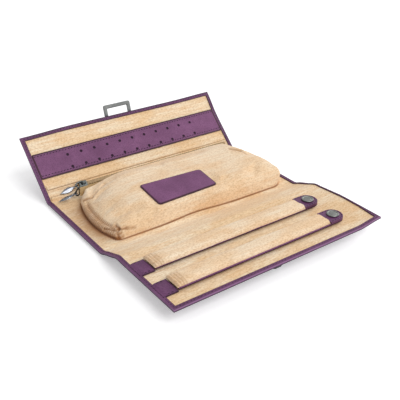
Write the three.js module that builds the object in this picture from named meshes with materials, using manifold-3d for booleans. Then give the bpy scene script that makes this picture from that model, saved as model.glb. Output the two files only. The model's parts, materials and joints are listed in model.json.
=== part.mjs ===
// Jewellery wallet: a folding leather case with a zip pouch, two ring straps, an earring strip
// and a closure ring that drops over a turn lock. Millimetres, +X along the folds, +Y to the back,
// +Z up, origin under the centre of the middle panel.
import * as THREE from 'three';
import { mergeVertices } from 'three/addons/utils/BufferGeometryUtils.js';
import Module from 'manifold-3d';

const wasm = await Module();
wasm.setup();

// Panels, measured along the leather from fold to fold
const WIDTH = 250;
const MIDDLE_DEPTH = 110;
const FRONT_SPINE_DEPTH = 33;
const BACK_SPINE_DEPTH = 25;
const BACK_DEPTH = 53;
const BINDING = 5;

// Layers of a panel, and the clearance between pieces that lie on each other
const LEATHER = 1.1;
const BOARD = 1;
const LINING = 0.9;
const SEAT = 0.3;
const FOLD_GAP = 0.3;
const EDGE_ROUND = 2;
const CORNER_ROUND = 2;
const BOARD_MARGIN = 3;
const BOARD_ROUND = 2;

// How the wallet lies open, and the play left between its panels when it is closed
const FRONT_LEAN = THREE.MathUtils.degToRad(19.5);
const BACK_LEAN = THREE.MathUtils.degToRad(42);
const CLOSED_PLAY = 0.5;

// Earring strip
const STRIP_WIDTH = 28.2;
const STRIP_START = 0.6;
const STRIP_THICK = 1.2;
const STRIP_ROUND = 1;
const EARRING_HOLE = 1;
const EARRING_PITCH = 16.4;
const EARRING_COLUMNS = 11;
const EARRING_ROWS = [5.4, 20.1];

// Ring straps on the front panel
const STRAP_CENTRES = [27.7, 62.9];
const STRAP_WIDTH = 20;
const STRAP_LENGTH = 203;
const STRAP_END = 22;
const STRAP_PAD = 3.6;
const STRAP_PAD_ENDS = [[0, 0.45], [2.5, 0.85], [6, 1]];
const STRAP_PAD_START = 1.5;
const STRAP_START = 0.5;
const STRAP_RISE = 0.4;
const ANCHOR_LENGTH = 12.2;
const ANCHOR_ROUND = 1;
const SNAP_CAP = 6.25;
const SNAP_CAP_HEIGHT = 1.7;
const SNAP_SOCKET = 5;
const SNAP_BALL = 2.1;
const SNAP_FROM_END = 10.5;
const SOCKET_HEIGHT = 1.4;
const STUD_BASE = 0.6;
const STUD_HEIGHT = 2.3;

// Zip pouch on the middle panel
const POUCH_LEFT = -WIDTH / 2 + 17;
const POUCH_RIGHT = WIDTH / 2 - 11;
const POUCH_FRONT = -MIDDLE_DEPTH / 2 + 3;
const POUCH_BACK = MIDDLE_DEPTH / 2 - 15;
const POUCH_HEIGHT = 22;
const POUCH_CORNER = 22;
const POUCH_LEVELS = [0, 3.5, 8, 12, 15, 17.5, 19.5, 21, POUCH_HEIGHT];
const POUCH_FOOT_TUCK = 3;
const POUCH_END_SHOULDER = { from: 6, reach: 14 };
const POUCH_FRONT_SHOULDER = { from: 10, reach: 9 };
const POUCH_BACK_SHOULDER = { from: 17, reach: 5 };
const PATCH_LENGTH = 66;
const PATCH_WIDTH = 36;
const PATCH_X = -13;
const PATCH_FROM_FRONT = 28;
const PATCH_THICK = 1.2;
const PATCH_ROUND = 4;

// Zips: tape, teeth and slider, seen with the teeth along X
const TAPE_WIDTH = 10;
const TAPE_THICK = 0.5;
const TEETH_WIDTH = 4;
const TEETH_THICK = 1.4;
const TOOTH_PITCH = 3;
const SLIDER_LENGTH = 9;
const SLIDER_WIDTH = 7.6;
const SLIDER_TAIL = 6.2;
const SLIDER_PLATE = 1;
const SLIDER_TAIL_ROUND = 1;
const SLIDER_NOSE_ROUND = 1.2;
const BAIL_WIRE = 0.9;
const BAIL_HALF = 1;
const BAIL_SUNK = 0.2;
const POCKET_ZIP_FROM_FOLD = 7.5;
const POCKET_SLIDER_X = -WIDTH / 2 + 45;
const POCKET_ZIP_END = WIDTH / 2 - 9;
const POUCH_SLIDER_X = -WIDTH / 2 + 36;
const POUCH_ZIP_END = WIDTH / 2 - 29;
const POUCH_ZIP_HEIGHT = 14;

// Zip pulls: an oval link and a leaf with a bead and an eye
const LINK_SPAN = 9.5;
const LINK_WIDTH = 6.4;
const WIRE = 1.2;
const EYE_MID = 1.85;
const EYE_WIRE = 0.6;
const BEAD = 1.4;
const LEAF_LENGTH = 16.5;
const LEAF_NECK = 0.9;
const LEAF_WIDTH = 5.4;
const LEAF_THICK = 1.6;
const POCKET_PULL_YAW = THREE.MathUtils.degToRad(9);
const POCKET_PULL_DROOP = THREE.MathUtils.degToRad(7);
const POUCH_LINK_YAW = THREE.MathUtils.degToRad(55);
const POUCH_PULL_DROOP = THREE.MathUtils.degToRad(10.5);

// Closure ring, its leather loop and the turn lock
const RING_WIDTH = 35;
const RING_LENGTH = 19;
const RING_BAR = 3;
const RING_FACE = 4.2;
const RING_ROUND = 2;
const RING_CHAMFER = 0.7;
const RING_FROM_EDGE = 2;
const RING_LEAN = THREE.MathUtils.degToRad(29);
const CHAPE_WIDTH = 24;
const CHAPE_TAIL = 18;
const CHAPE_PINCH = 1.5;
const LOCK_PLATE = [24, 13, 1.5];
const LOCK_PLATE_ROUND = 5;
const LOCK_COLLAR = 4;
const LOCK_COLLAR_HEIGHT = 1.4;
const LOCK_STEM = 2.35;
const LOCK_NECK = 4.7;
const LOCK_KNOB = [11.4, 6, 4.2];
const KNOB_BEVEL = 1;
const KNOB_SUNK = 0.5;
const LOCK_TO_BAR = 3.6;
const LOCK_TO_EDGE = 14.5;

// Heights in a panel's own frame, where 0 is the top of its turned edges
const PANEL = 2 * LEATHER + BOARD + LINING + 3 * SEAT;
const LINING_TOP = -LEATHER - SEAT;
const BOARD_TOP = LINING_TOP - LINING - SEAT;
const HALF_WIDTH = WIDTH / 2;
const HALF_GAP = FOLD_GAP / 2;
const MITRE = PANEL * Math.tan(FRONT_LEAN / 2);

const COLOURS = {
  leather: [0x6b3f68, 0.5, 0],
  suede: [0xe3c8a0, 0.95, 0],
  board: [0x8d8478, 0.9, 0],
  tape: [0x9a8053, 0.9, 0],
  teeth: [0x6e5a38, 0.6, 0.2],
  nickel: [0xb8bab6, 0.3, 1],
  steel: [0x8f9294, 0.35, 1],
};

function material(name) {
  const [color, roughness, metalness] = COLOURS[name];
  return new THREE.MeshStandardMaterial({ color, roughness, metalness });
}

function add(group, name, geometry, finish) {
  const mesh = new THREE.Mesh(geometry, material(finish));
  mesh.name = name;
  group.add(mesh);
  return mesh;
}

// Turns a closed geometry into a solid that can be joined and cut
function solid(geometry) {
  const bare = geometry.clone();
  bare.deleteAttribute('normal');
  bare.deleteAttribute('uv');
  const merged = mergeVertices(bare, 1e-4);
  const vertProperties = new Float32Array(merged.attributes.position.array);
  const triVerts = new Uint32Array(merged.index.array);
  return new wasm.Manifold(new wasm.Mesh({ numProp: 3, vertProperties, triVerts }));
}

// Turns a solid back into a geometry
function geometryOf(body) {
  const mesh = body.getMesh();
  const geometry = new THREE.BufferGeometry();
  geometry.setAttribute('position', new THREE.BufferAttribute(new Float32Array(mesh.vertProperties), 3));
  geometry.setIndex(new THREE.BufferAttribute(new Uint32Array(mesh.triVerts), 1));
  geometry.computeVertexNormals();
  return geometry;
}

// Outline with corners rounded in the order low left, low right, high right, high left
function roundedShape(x0, x1, y0, y1, radii) {
  const [a, b, c, d] = radii;
  const shape = new THREE.Shape();
  shape.moveTo(x0 + a, y0);
  shape.lineTo(x1 - b, y0);
  if (b > 0) shape.absarc(x1 - b, y0 + b, b, -Math.PI / 2, 0);
  shape.lineTo(x1, y1 - c);
  if (c > 0) shape.absarc(x1 - c, y1 - c, c, 0, Math.PI / 2);
  shape.lineTo(x0 + d, y1);
  if (d > 0) shape.absarc(x0 + d, y1 - d, d, Math.PI / 2, Math.PI);
  shape.lineTo(x0, y0 + a);
  if (a > 0) shape.absarc(x0 + a, y0 + a, a, Math.PI, 1.5 * Math.PI);
  return shape;
}

function rectangle(x0, x1, y0, y1) {
  return roundedShape(x0, x1, y0, y1, [0, 0, 0, 0]);
}

// Plan outline raised from one height to another
function raise(shape, low, high, curveSegments = 3) {
  const options = { depth: high - low, bevelEnabled: false, curveSegments };
  return new THREE.ExtrudeGeometry(shape, options).translate(0, 0, low);
}

// Outline in the Y and Z directions drawn out along X between two ends
function alongX(shape, x0, x1, curveSegments = 3) {
  const geometry = raise(shape, x0, x1, curveSegments);
  const turn = new THREE.Matrix4().makeBasis(
    new THREE.Vector3(0, 1, 0),
    new THREE.Vector3(0, 0, 1),
    new THREE.Vector3(1, 0, 0),
  );
  return geometry.applyMatrix4(turn);
}

// Outline in the X and Z directions drawn out along Y between two ends
function alongY(shape, y0, y1, curveSegments = 2) {
  return raise(shape, -y1, -y0, curveSegments).rotateX(Math.PI / 2);
}

// Mirrors a geometry from +Y to -Y and keeps its faces pointing out
function mirrorY(geometry) {
  const mirrored = geometry.index ? geometry.toNonIndexed() : geometry.clone();
  mirrored.scale(1, -1, 1);
  const place = mirrored.attributes.position;
  for (let i = 0; i < place.count; i += 3) {
    const swapped = new THREE.Vector3().fromBufferAttribute(place, i + 1);
    const kept = new THREE.Vector3().fromBufferAttribute(place, i + 2);
    place.setXYZ(i + 1, kept.x, kept.y, kept.z);
    place.setXYZ(i + 2, swapped.x, swapped.y, swapped.z);
  }
  mirrored.deleteAttribute('normal');
  mirrored.deleteAttribute('uv');
  const merged = mergeVertices(mirrored, 1e-4);
  merged.computeVertexNormals();
  return merged;
}

// Skin through rings of equally many points, closed by a fan at each end
function loft(rings) {
  const count = rings[0].length;
  const points = rings.flat();
  const faces = [];
  for (let r = 0; r + 1 < rings.length; r += 1) {
    for (let i = 0; i < count; i += 1) {
      const next = (i + 1) % count;
      const a = r * count + i;
      const b = r * count + next;
      faces.push(a, b, b + count, a, b + count, a + count);
    }
  }
  const centre = (ring) => ring.reduce((sum, p) => sum.add(p), new THREE.Vector3()).divideScalar(count);
  const first = points.length;
  points.push(centre(rings[0]), centre(rings.at(-1)));
  const lastRing = (rings.length - 1) * count;
  for (let i = 0; i < count; i += 1) {
    const next = (i + 1) % count;
    faces.push(first, next, i);
    faces.push(first + 1, lastRing + i, lastRing + next);
  }
  const geometry = new THREE.BufferGeometry().setFromPoints(points);
  geometry.setIndex(faces);
  geometry.computeVertexNormals();
  return geometry;
}

// Leather cover of one panel: outer skin with side edges, and on a free panel also its end, turned
// over the lining. It runs along +Y from its fold.
function cover({ length, free = false, startMitre = 0, endMitre = 0 }) {
  const start = HALF_GAP;
  const end = free ? length : length - HALF_GAP;
  const section = roundedShape(-HALF_WIDTH, HALF_WIDTH, -PANEL, 0, Array(4).fill(EDGE_ROUND));
  const side = new THREE.Shape();
  side.moveTo(start, 0);
  side.lineTo(start + startMitre, -PANEL);
  if (free) {
    side.lineTo(end - EDGE_ROUND, -PANEL);
    side.absarc(end - EDGE_ROUND, -PANEL + EDGE_ROUND, EDGE_ROUND, -Math.PI / 2, 0);
    side.lineTo(end, -EDGE_ROUND);
    side.absarc(end - EDGE_ROUND, -EDGE_ROUND, EDGE_ROUND, 0, Math.PI / 2);
  } else {
    side.lineTo(end - endMitre, -PANEL);
    side.lineTo(end, 0);
  }
  const corner = free ? CORNER_ROUND : 0;
  const plan = roundedShape(-HALF_WIDTH, HALF_WIDTH, 0, length, [0, 0, corner, corner]);
  const inner = HALF_WIDTH - LEATHER;
  const cavityEnd = free ? length - LEATHER : length + 1;
  const windowEnd = free ? length - BINDING : length + 1;
  const cavity = raise(rectangle(-inner, inner, -1, cavityEnd), -PANEL + LEATHER, -LEATHER);
  const opening = HALF_WIDTH - BINDING;
  const window = raise(rectangle(-opening, opening, -1, windowEnd), -LEATHER - 0.1, 1);
  const skin = solid(alongY(section, 0, length))
    .intersect(solid(alongX(side, -HALF_WIDTH - 1, HALF_WIDTH + 1, 2)))
    .intersect(solid(raise(plan, -PANEL - 1, 1)))
    .subtract(solid(cavity))
    .subtract(solid(window));
  return geometryOf(skin);
}

// Lining sheet that lies under the turned edges
function lining({ length, free = false, startSetback = HALF_GAP, endSetback = HALF_GAP }) {
  const half = HALF_WIDTH - LEATHER - SEAT;
  const end = free ? length - LEATHER - SEAT : length - endSetback;
  return raise(rectangle(-half, half, startSetback, end), LINING_TOP - LINING, LINING_TOP);
}

// Stiffening board between cover and lining, with an optional cut-out
function board({ length, free = false, hole = null }) {
  const half = HALF_WIDTH - LEATHER - SEAT - BOARD_MARGIN;
  const end = free ? length - LEATHER - SEAT - BOARD_MARGIN : length - BOARD_MARGIN;
  const shape = roundedShape(-half, half, BOARD_MARGIN, end, Array(4).fill(BOARD_ROUND));
  if (hole) shape.holes.push(hole);
  return raise(shape, BOARD_TOP - BOARD, BOARD_TOP);
}

// Teeth of a zip: interlocked from both sides, along X
function zipTeeth(x0, x1) {
  const half = TEETH_WIDTH / 2;
  const root = half - 0.6;
  const teeth = Math.floor((x1 - x0) / TOOTH_PITCH);
  const shape = new THREE.Shape();
  shape.moveTo(x0, -root);
  for (let i = 0; i < teeth; i += 1) {
    const x = x0 + i * TOOTH_PITCH;
    shape.lineTo(x + 0.2 * TOOTH_PITCH, -root);
    shape.lineTo(x + 0.3 * TOOTH_PITCH, -half);
    shape.lineTo(x + 0.6 * TOOTH_PITCH, -half);
    shape.lineTo(x + 0.7 * TOOTH_PITCH, -root);
  }
  shape.lineTo(x1, -root);
  shape.lineTo(x1, root);
  for (let i = teeth - 1; i >= 0; i -= 1) {
    const x = x0 + (i + 0.5) * TOOTH_PITCH;
    shape.lineTo(x + 0.45 * TOOTH_PITCH, root);
    shape.lineTo(x + 0.35 * TOOTH_PITCH, half);
    shape.lineTo(x + 0.1 * TOOTH_PITCH, half);
    shape.lineTo(x, root);
  }
  shape.lineTo(x0, root);
  return raise(shape, 2 * SEAT + TAPE_THICK, 2 * SEAT + TAPE_THICK + TEETH_THICK);
}

const TEETH_TOP = 2 * SEAT + TAPE_THICK + TEETH_THICK;
const SLIDER_TOP = TEETH_TOP + SEAT + SLIDER_PLATE;
const BAIL_INNER = EYE_MID - EYE_WIRE;
const LINK_HEIGHT = SLIDER_TOP + BAIL_INNER + SEAT;

// Slider: shield plate with side flanges over the teeth, and a bail for the link
function zipSlider() {
  const nose = SLIDER_LENGTH / 2;
  const wide = SLIDER_WIDTH / 2;
  const tail = SLIDER_TAIL / 2;
  const outline = new THREE.Shape();
  const r = SLIDER_NOSE_ROUND;
  const q = SLIDER_TAIL_ROUND;
  outline.moveTo(-nose, -wide + r);
  outline.quadraticCurveTo(-nose, -wide, -nose + r, -wide);
  outline.lineTo(nose - q, -tail);
  outline.quadraticCurveTo(nose, -tail, nose, -tail + q);
  outline.lineTo(nose, tail - q);
  outline.quadraticCurveTo(nose, tail, nose - q, tail);
  outline.lineTo(-nose + r, wide);
  outline.quadraticCurveTo(-nose, wide, -nose, wide - r);
  outline.lineTo(-nose, -wide + r);
  const flangeLow = 2 * SEAT + TAPE_THICK;
  const channel = TEETH_WIDTH / 2 + SEAT;
  const body = solid(raise(outline, flangeLow, SLIDER_TOP, 2));
  const slot = solid(raise(rectangle(-nose - 1, nose + 1, -channel, channel), -1, TEETH_TOP + SEAT));
  const arch = new THREE.Shape();
  const outer = BAIL_INNER + BAIL_WIRE;
  const foot = SLIDER_TOP - BAIL_SUNK;
  arch.moveTo(-outer, foot);
  arch.lineTo(-BAIL_INNER, foot);
  arch.lineTo(-BAIL_INNER, LINK_HEIGHT);
  arch.absarc(0, LINK_HEIGHT, BAIL_INNER, Math.PI, 0, true);
  arch.lineTo(BAIL_INNER, foot);
  arch.lineTo(outer, foot);
  arch.lineTo(outer, LINK_HEIGHT);
  arch.absarc(0, LINK_HEIGHT, outer, 0, Math.PI);
  const bail = solid(alongY(arch, -BAIL_HALF, BAIL_HALF, 4));
  return geometryOf(body.subtract(slot).add(bail));
}

// Oval link from its pivot at the origin along -X
function zipLink() {
  const round = (length, width) => {
    const r = width / 2;
    const shape = new THREE.Shape();
    shape.absarc(length / 2 - r, 0, r, -Math.PI / 2, Math.PI / 2);
    shape.absarc(-length / 2 + r, 0, r, Math.PI / 2, 1.5 * Math.PI);
    return shape;
  };
  const ring = round(LINK_SPAN + WIRE, LINK_WIDTH);
  ring.holes.push(round(LINK_SPAN - WIRE, LINK_WIDTH - 2 * WIRE));
  return raise(ring, -WIRE / 2, WIRE / 2, 6).translate(-LINK_SPAN / 2, 0, 0);
}

// Leaf from its eye at the origin along -X; the eye stands upright or lies with the leaf
function zipLeaf(upright) {
  const stations = 8;
  const sides = 10;
  const rings = [];
  for (let s = 0; s <= stations; s += 1) {
    const along = s / stations;
    const swell = Math.sin(Math.PI * along ** 0.85) ** 1.2;
    const half = LEAF_NECK * (1 - along) + 0.2 + (LEAF_WIDTH / 2 - LEAF_NECK / 2) * swell;
    const thick = 0.2 + (LEAF_THICK / 2 - 0.2) * Math.sqrt(1 - along ** 3);
    const ring = [];
    for (let i = 0; i < sides; i += 1) {
      const turn = (2 * Math.PI * i) / sides;
      const x = -EYE_MID - BEAD - LEAF_LENGTH * along;
      ring.push(new THREE.Vector3(x, half * Math.cos(turn), -thick * Math.sin(turn)));
    }
    rings.push(ring);
  }
  const eye = new THREE.TorusGeometry(EYE_MID, EYE_WIRE, 6, 14);
  if (upright) eye.rotateX(Math.PI / 2);
  const bead = new THREE.SphereGeometry(BEAD, 10, 6).translate(-EYE_MID - BEAD, 0, 0);
  return geometryOf(solid(loft(rings)).add(solid(eye)).add(solid(bead)));
}

// Profile turned about Z, for studs, sockets and caps
function turned(points, segments = 20) {
  const profile = points.map(([r, z]) => new THREE.Vector2(r, z));
  return new THREE.LatheGeometry(profile, segments).rotateX(Math.PI / 2);
}

const wallet = new THREE.Group();
wallet.name = 'wallet';

// Middle panel
const middle = new THREE.Group();
middle.position.z = PANEL;
wallet.add(middle);
const MIDDLE_START = -MIDDLE_DEPTH / 2;
const middleDims = { length: MIDDLE_DEPTH };
add(middle, 'cover_middle', cover(middleDims).translate(0, MIDDLE_START, 0), 'leather');
add(middle, 'board_middle', board(middleDims).translate(0, MIDDLE_START, 0), 'board');
add(middle, 'lining_middle', lining(middleDims).translate(0, MIDDLE_START, 0), 'suede');

// Front spine and front panel, running along -Y from their folds
const frontSpine = new THREE.Group();
frontSpine.name = 'front_spine_fold';
frontSpine.position.set(0, -MIDDLE_DEPTH / 2, 0);
frontSpine.rotation.x = -FRONT_LEAN;
middle.add(frontSpine);
const spineCover = cover({ length: FRONT_SPINE_DEPTH, endMitre: MITRE });
const spineLining = lining({ length: FRONT_SPINE_DEPTH, endSetback: MITRE });
add(frontSpine, 'cover_front_spine', mirrorY(spineCover), 'leather');
add(frontSpine, 'lining_front_spine', mirrorY(spineLining), 'suede');

const front = new THREE.Group();
front.name = 'front_fold';
front.position.y = -FRONT_SPINE_DEPTH;
front.rotation.x = FRONT_LEAN;
frontSpine.add(front);

// Where the lock meets the ring once the wallet is closed
const CHAPE_INNER = Math.hypot(RING_BAR / 2, RING_BAR / 2 - RING_CHAMFER) + SEAT;
const CHAPE_OUTER = CHAPE_INNER + LEATHER;
const RING_PIVOT_DEPTH = PANEL + SEAT + CHAPE_OUTER;
const RING_REACH = RING_LENGTH - (RING_BAR + RING_FACE) / 2;
const closedLean = Math.asin((BACK_SPINE_DEPTH - PANEL - CLOSED_PLAY) / FRONT_SPINE_DEPTH);
const pivotHeight = BACK_SPINE_DEPTH + RING_PIVOT_DEPTH;
const plateHeight = BACK_SPINE_DEPTH - CLOSED_PLAY + SEAT + LOCK_PLATE[2];
const ringDip = Math.asin((pivotHeight - plateHeight - RING_BAR / 2 - SEAT) / RING_REACH);
const pivotToLock = (RING_REACH - RING_FACE / 2 - LOCK_TO_BAR) * Math.cos(ringDip);
const closedPivotY = MIDDLE_DEPTH / 2 - BACK_DEPTH + RING_FROM_EDGE;
const closedFoldY = -MIDDLE_DEPTH / 2 - FRONT_SPINE_DEPTH * Math.cos(closedLean);
const LOCK_FROM_FOLD = closedPivotY - pivotToLock - closedFoldY;

// The front panel ends a set way past its lock
const FRONT_DEPTH = LOCK_FROM_FOLD + LOCK_TO_EDGE;

const washerHalf = LOCK_PLATE[0] / 2;
const washerDeep = LOCK_PLATE[1] / 2;
const washerHole = rectangle(
  -washerHalf - SEAT,
  washerHalf + SEAT,
  LOCK_FROM_FOLD - washerDeep - SEAT,
  LOCK_FROM_FOLD + washerDeep + SEAT,
);
const frontDims = { length: FRONT_DEPTH, free: true };
add(front, 'cover_front', mirrorY(cover({ ...frontDims, startMitre: MITRE })), 'leather');
add(front, 'board_front', mirrorY(board({ ...frontDims, hole: washerHole })), 'board');
add(front, 'lining_front', mirrorY(lining({ ...frontDims, startSetback: MITRE })), 'suede');

// Turn lock on the outside of the front panel
const lock = new THREE.Group();
lock.position.set(0, -LOCK_FROM_FOLD, -PANEL - SEAT);
lock.rotation.x = Math.PI;
front.add(lock);
const plateRadii = Array(4).fill(LOCK_PLATE_ROUND);
const lockOutline = roundedShape(-washerHalf, washerHalf, -washerDeep, washerDeep, plateRadii);
const stemHole = LOCK_STEM + SEAT;
const collarTop = LOCK_PLATE[2] + LOCK_COLLAR_HEIGHT;
const lockBase = solid(raise(lockOutline, 0, LOCK_PLATE[2], 4))
  .add(solid(new THREE.CylinderGeometry(LOCK_COLLAR, LOCK_COLLAR, collarTop, 24)
    .rotateX(Math.PI / 2).translate(0, 0, collarTop / 2)))
  .subtract(solid(new THREE.CylinderGeometry(stemHole, stemHole, 3 * collarTop, 24).rotateX(Math.PI / 2)));
add(lock, 'lock_plate', geometryOf(lockBase), 'nickel');
const washer = raise(rectangle(-washerHalf, washerHalf, -washerDeep, washerDeep), 0, BOARD);
add(front, 'lock_washer', washer.translate(0, -LOCK_FROM_FOLD, BOARD_TOP - BOARD), 'steel');
const knob = new THREE.Group();
knob.name = 'lock_turn';
lock.add(knob);
const [knobLong, knobWide, knobThick] = LOCK_KNOB;
const knobOutline = roundedShape(
  -knobLong / 2 + KNOB_BEVEL,
  knobLong / 2 - KNOB_BEVEL,
  -knobWide / 2 + KNOB_BEVEL,
  knobWide / 2 - KNOB_BEVEL,
  Array(4).fill(knobWide / 2 - KNOB_BEVEL - 0.01),
);
const knobBevel = {
  depth: knobThick - 2 * KNOB_BEVEL,
  bevelThickness: KNOB_BEVEL,
  bevelSize: KNOB_BEVEL,
  bevelSegments: 2,
  curveSegments: 4,
};
const knobLow = LOCK_PLATE[2] + LOCK_NECK;
const knobHead = new THREE.ExtrudeGeometry(knobOutline, knobBevel).translate(0, 0, knobLow + KNOB_BEVEL);
const stemLength = knobLow + KNOB_SUNK;
const knobStem = new THREE.CylinderGeometry(LOCK_STEM, LOCK_STEM, stemLength, 20)
  .rotateX(Math.PI / 2)
  .translate(0, 0, stemLength / 2);
add(knob, 'lock_knob', geometryOf(solid(knobHead).add(solid(knobStem))), 'nickel');

// Ring straps: padded suede on a leather backing, held by an anchor tab and a snap
const ANCHOR_THICK = 2 * LEATHER;
const ANCHOR_TOP = LINING_TOP + SEAT + ANCHOR_THICK;
const STRAP_HINGE_X = -HALF_WIDTH + BINDING + SEAT + ANCHOR_LENGTH;
const SNAP_X = STRAP_LENGTH - SNAP_FROM_END;

function strapOutline(start, roundEnd) {
  const half = STRAP_WIDTH / 2;
  const shape = new THREE.Shape();
  shape.moveTo(start, -half);
  shape.lineTo(STRAP_LENGTH - roundEnd, -half);
  shape.absarc(STRAP_LENGTH - roundEnd, 0, half, -Math.PI / 2, Math.PI / 2);
  shape.lineTo(start, half);
  return shape;
}

function strapPad() {
  const x0 = STRAP_PAD_START;
  const length = STRAP_LENGTH - STRAP_END - SEAT - x0;
  const half = STRAP_WIDTH / 2;
  const low = LEATHER + SEAT;
  const fall = STRAP_PAD_ENDS.map(([along, swell]) => [length - along, swell]).reverse();
  const steps = 12;
  return loft([...STRAP_PAD_ENDS, ...fall].map(([along, swell]) => {
    const ring = [];
    for (let i = 0; i <= steps; i += 1) {
      const turn = (Math.PI * i) / steps;
      const across = half * Math.sign(Math.cos(turn)) * Math.abs(Math.cos(turn)) ** 0.5;
      ring.push(new THREE.Vector3(x0 + along, across, low + STRAP_PAD * swell * Math.sin(turn) ** 0.6));
    }
    return ring;
  }));
}

STRAP_CENTRES.forEach((centre, index) => {
  const number = index + 1;
  const anchorHalf = STRAP_WIDTH / 2;
  const anchor = roundedShape(
    STRAP_HINGE_X - ANCHOR_LENGTH,
    STRAP_HINGE_X,
    -centre - anchorHalf,
    -centre + anchorHalf,
    Array(4).fill(ANCHOR_ROUND),
  );
  add(front, `strap_${number}_anchor`, raise(anchor, LINING_TOP + SEAT, ANCHOR_TOP, 1), 'leather');
  const stud = turned([
    [0, 0],
    [SNAP_SOCKET, 0],
    [SNAP_SOCKET, STUD_BASE],
    [SNAP_BALL - 0.5, STUD_BASE],
    [SNAP_BALL - 0.5, STUD_BASE + 0.3],
    [SNAP_BALL, STUD_BASE + 0.9],
    [SNAP_BALL - 0.4, STUD_HEIGHT - 0.1],
    [0, STUD_HEIGHT],
  ]);
  stud.translate(STRAP_HINGE_X + SNAP_X, -centre, LINING_TOP + SEAT);
  add(front, `strap_${number}_snap_stud`, stud, 'nickel');

  const strap = new THREE.Group();
  strap.name = `strap_${number}_lift`;
  strap.position.set(STRAP_HINGE_X, -centre, ANCHOR_TOP);
  front.add(strap);
  const leaf = new THREE.Group();
  leaf.position.z = STRAP_RISE;
  strap.add(leaf);
  const round = STRAP_WIDTH / 2;
  add(leaf, `strap_${number}_backing`, raise(strapOutline(STRAP_START, round), 0, LEATHER, 5), 'leather');
  add(leaf, `strap_${number}_pad`, strapPad(), 'suede');
  const endLow = LEATHER + SEAT;
  const endTop = endLow + ANCHOR_THICK;
  const endStart = STRAP_LENGTH - STRAP_END;
  add(leaf, `strap_${number}_end_tab`, raise(strapOutline(endStart, round), endLow, endTop, 5), 'leather');
  const socketLow = -SEAT - SOCKET_HEIGHT;
  const bore = SNAP_BALL + SEAT;
  const socket = turned([
    [bore, socketLow],
    [SNAP_SOCKET - 0.4, socketLow],
    [SNAP_SOCKET, socketLow + 0.4],
    [SNAP_SOCKET, -SEAT],
    [bore, -SEAT],
    [bore, socketLow],
  ]).translate(SNAP_X, 0, 0);
  add(leaf, `strap_${number}_snap_socket`, socket, 'nickel');
  const cap = turned([
    [0, 0],
    [SNAP_CAP - 0.4, 0],
    [SNAP_CAP, 0.4],
    [SNAP_CAP, SNAP_CAP_HEIGHT - 0.5],
    [SNAP_CAP - 0.6, SNAP_CAP_HEIGHT],
    [SNAP_CAP - 1.4, SNAP_CAP_HEIGHT - 0.1],
    [SNAP_CAP - 2, SNAP_CAP_HEIGHT - 0.5],
    [SNAP_CAP / 2, SNAP_CAP_HEIGHT - 0.25],
    [0, SNAP_CAP_HEIGHT - 0.1],
  ], 24).translate(SNAP_X, 0, endTop + SEAT);
  add(leaf, `strap_${number}_snap_cap`, cap, 'nickel');
});

// Back spine and back flap
const backSpine = new THREE.Group();
backSpine.name = 'back_fold';
backSpine.position.set(0, MIDDLE_DEPTH / 2, 0);
backSpine.rotation.x = BACK_LEAN;
middle.add(backSpine);
add(backSpine, 'cover_back_spine', cover({ length: BACK_SPINE_DEPTH }), 'leather');
add(backSpine, 'lining_back_spine', lining({ length: BACK_SPINE_DEPTH }), 'suede');

const back = new THREE.Group();
back.name = 'back_flap_fold';
back.position.y = BACK_SPINE_DEPTH;
backSpine.add(back);
const backDims = { length: BACK_DEPTH, free: true };
add(back, 'cover_back', cover(backDims), 'leather');
add(back, 'board_back', board(backDims), 'board');
add(back, 'lining_back', lining(backDims), 'suede');

// Earring strip with two rows of holes
const stripHalf = HALF_WIDTH - BINDING - SEAT;
const stripOutline = roundedShape(
  -stripHalf,
  stripHalf,
  STRIP_START,
  STRIP_START + STRIP_WIDTH,
  Array(4).fill(STRIP_ROUND),
);
const firstHole = -((EARRING_COLUMNS - 1) * EARRING_PITCH) / 2;
for (const row of EARRING_ROWS) {
  for (let i = 0; i < EARRING_COLUMNS; i += 1) {
    const hole = new THREE.Path();
    hole.absarc(firstHole + i * EARRING_PITCH, row, EARRING_HOLE, 0, 2 * Math.PI);
    stripOutline.holes.push(hole);
  }
}
const stripLow = LINING_TOP + SEAT;
add(back, 'earring_strip', raise(stripOutline, stripLow, stripLow + STRIP_THICK, 5), 'leather');

// Closure ring in its leather loop behind the flap's free edge
const ringPivot = new THREE.Group();
ringPivot.position.set(0, BACK_DEPTH - RING_FROM_EDGE, -RING_PIVOT_DEPTH);
back.add(ringPivot);
const loop = new THREE.Shape();
const tailLow = CHAPE_OUTER - 2 * LEATHER;
loop.moveTo(-CHAPE_TAIL, CHAPE_OUTER);
loop.lineTo(-CHAPE_TAIL, tailLow);
loop.lineTo(-CHAPE_OUTER - CHAPE_PINCH, tailLow);
loop.lineTo(CHAPE_OUTER * Math.cos(1.25 * Math.PI), CHAPE_OUTER * Math.sin(1.25 * Math.PI));
loop.absarc(0, 0, CHAPE_OUTER, 1.25 * Math.PI, 2.5 * Math.PI);
loop.lineTo(-CHAPE_TAIL, CHAPE_OUTER);
const barHole = new THREE.Path();
barHole.absarc(0, 0, CHAPE_INNER, 0, 2 * Math.PI);
loop.holes.push(barHole);
add(ringPivot, 'ring_chape', alongX(loop, -CHAPE_WIDTH / 2, CHAPE_WIDTH / 2, 8), 'leather');

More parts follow.
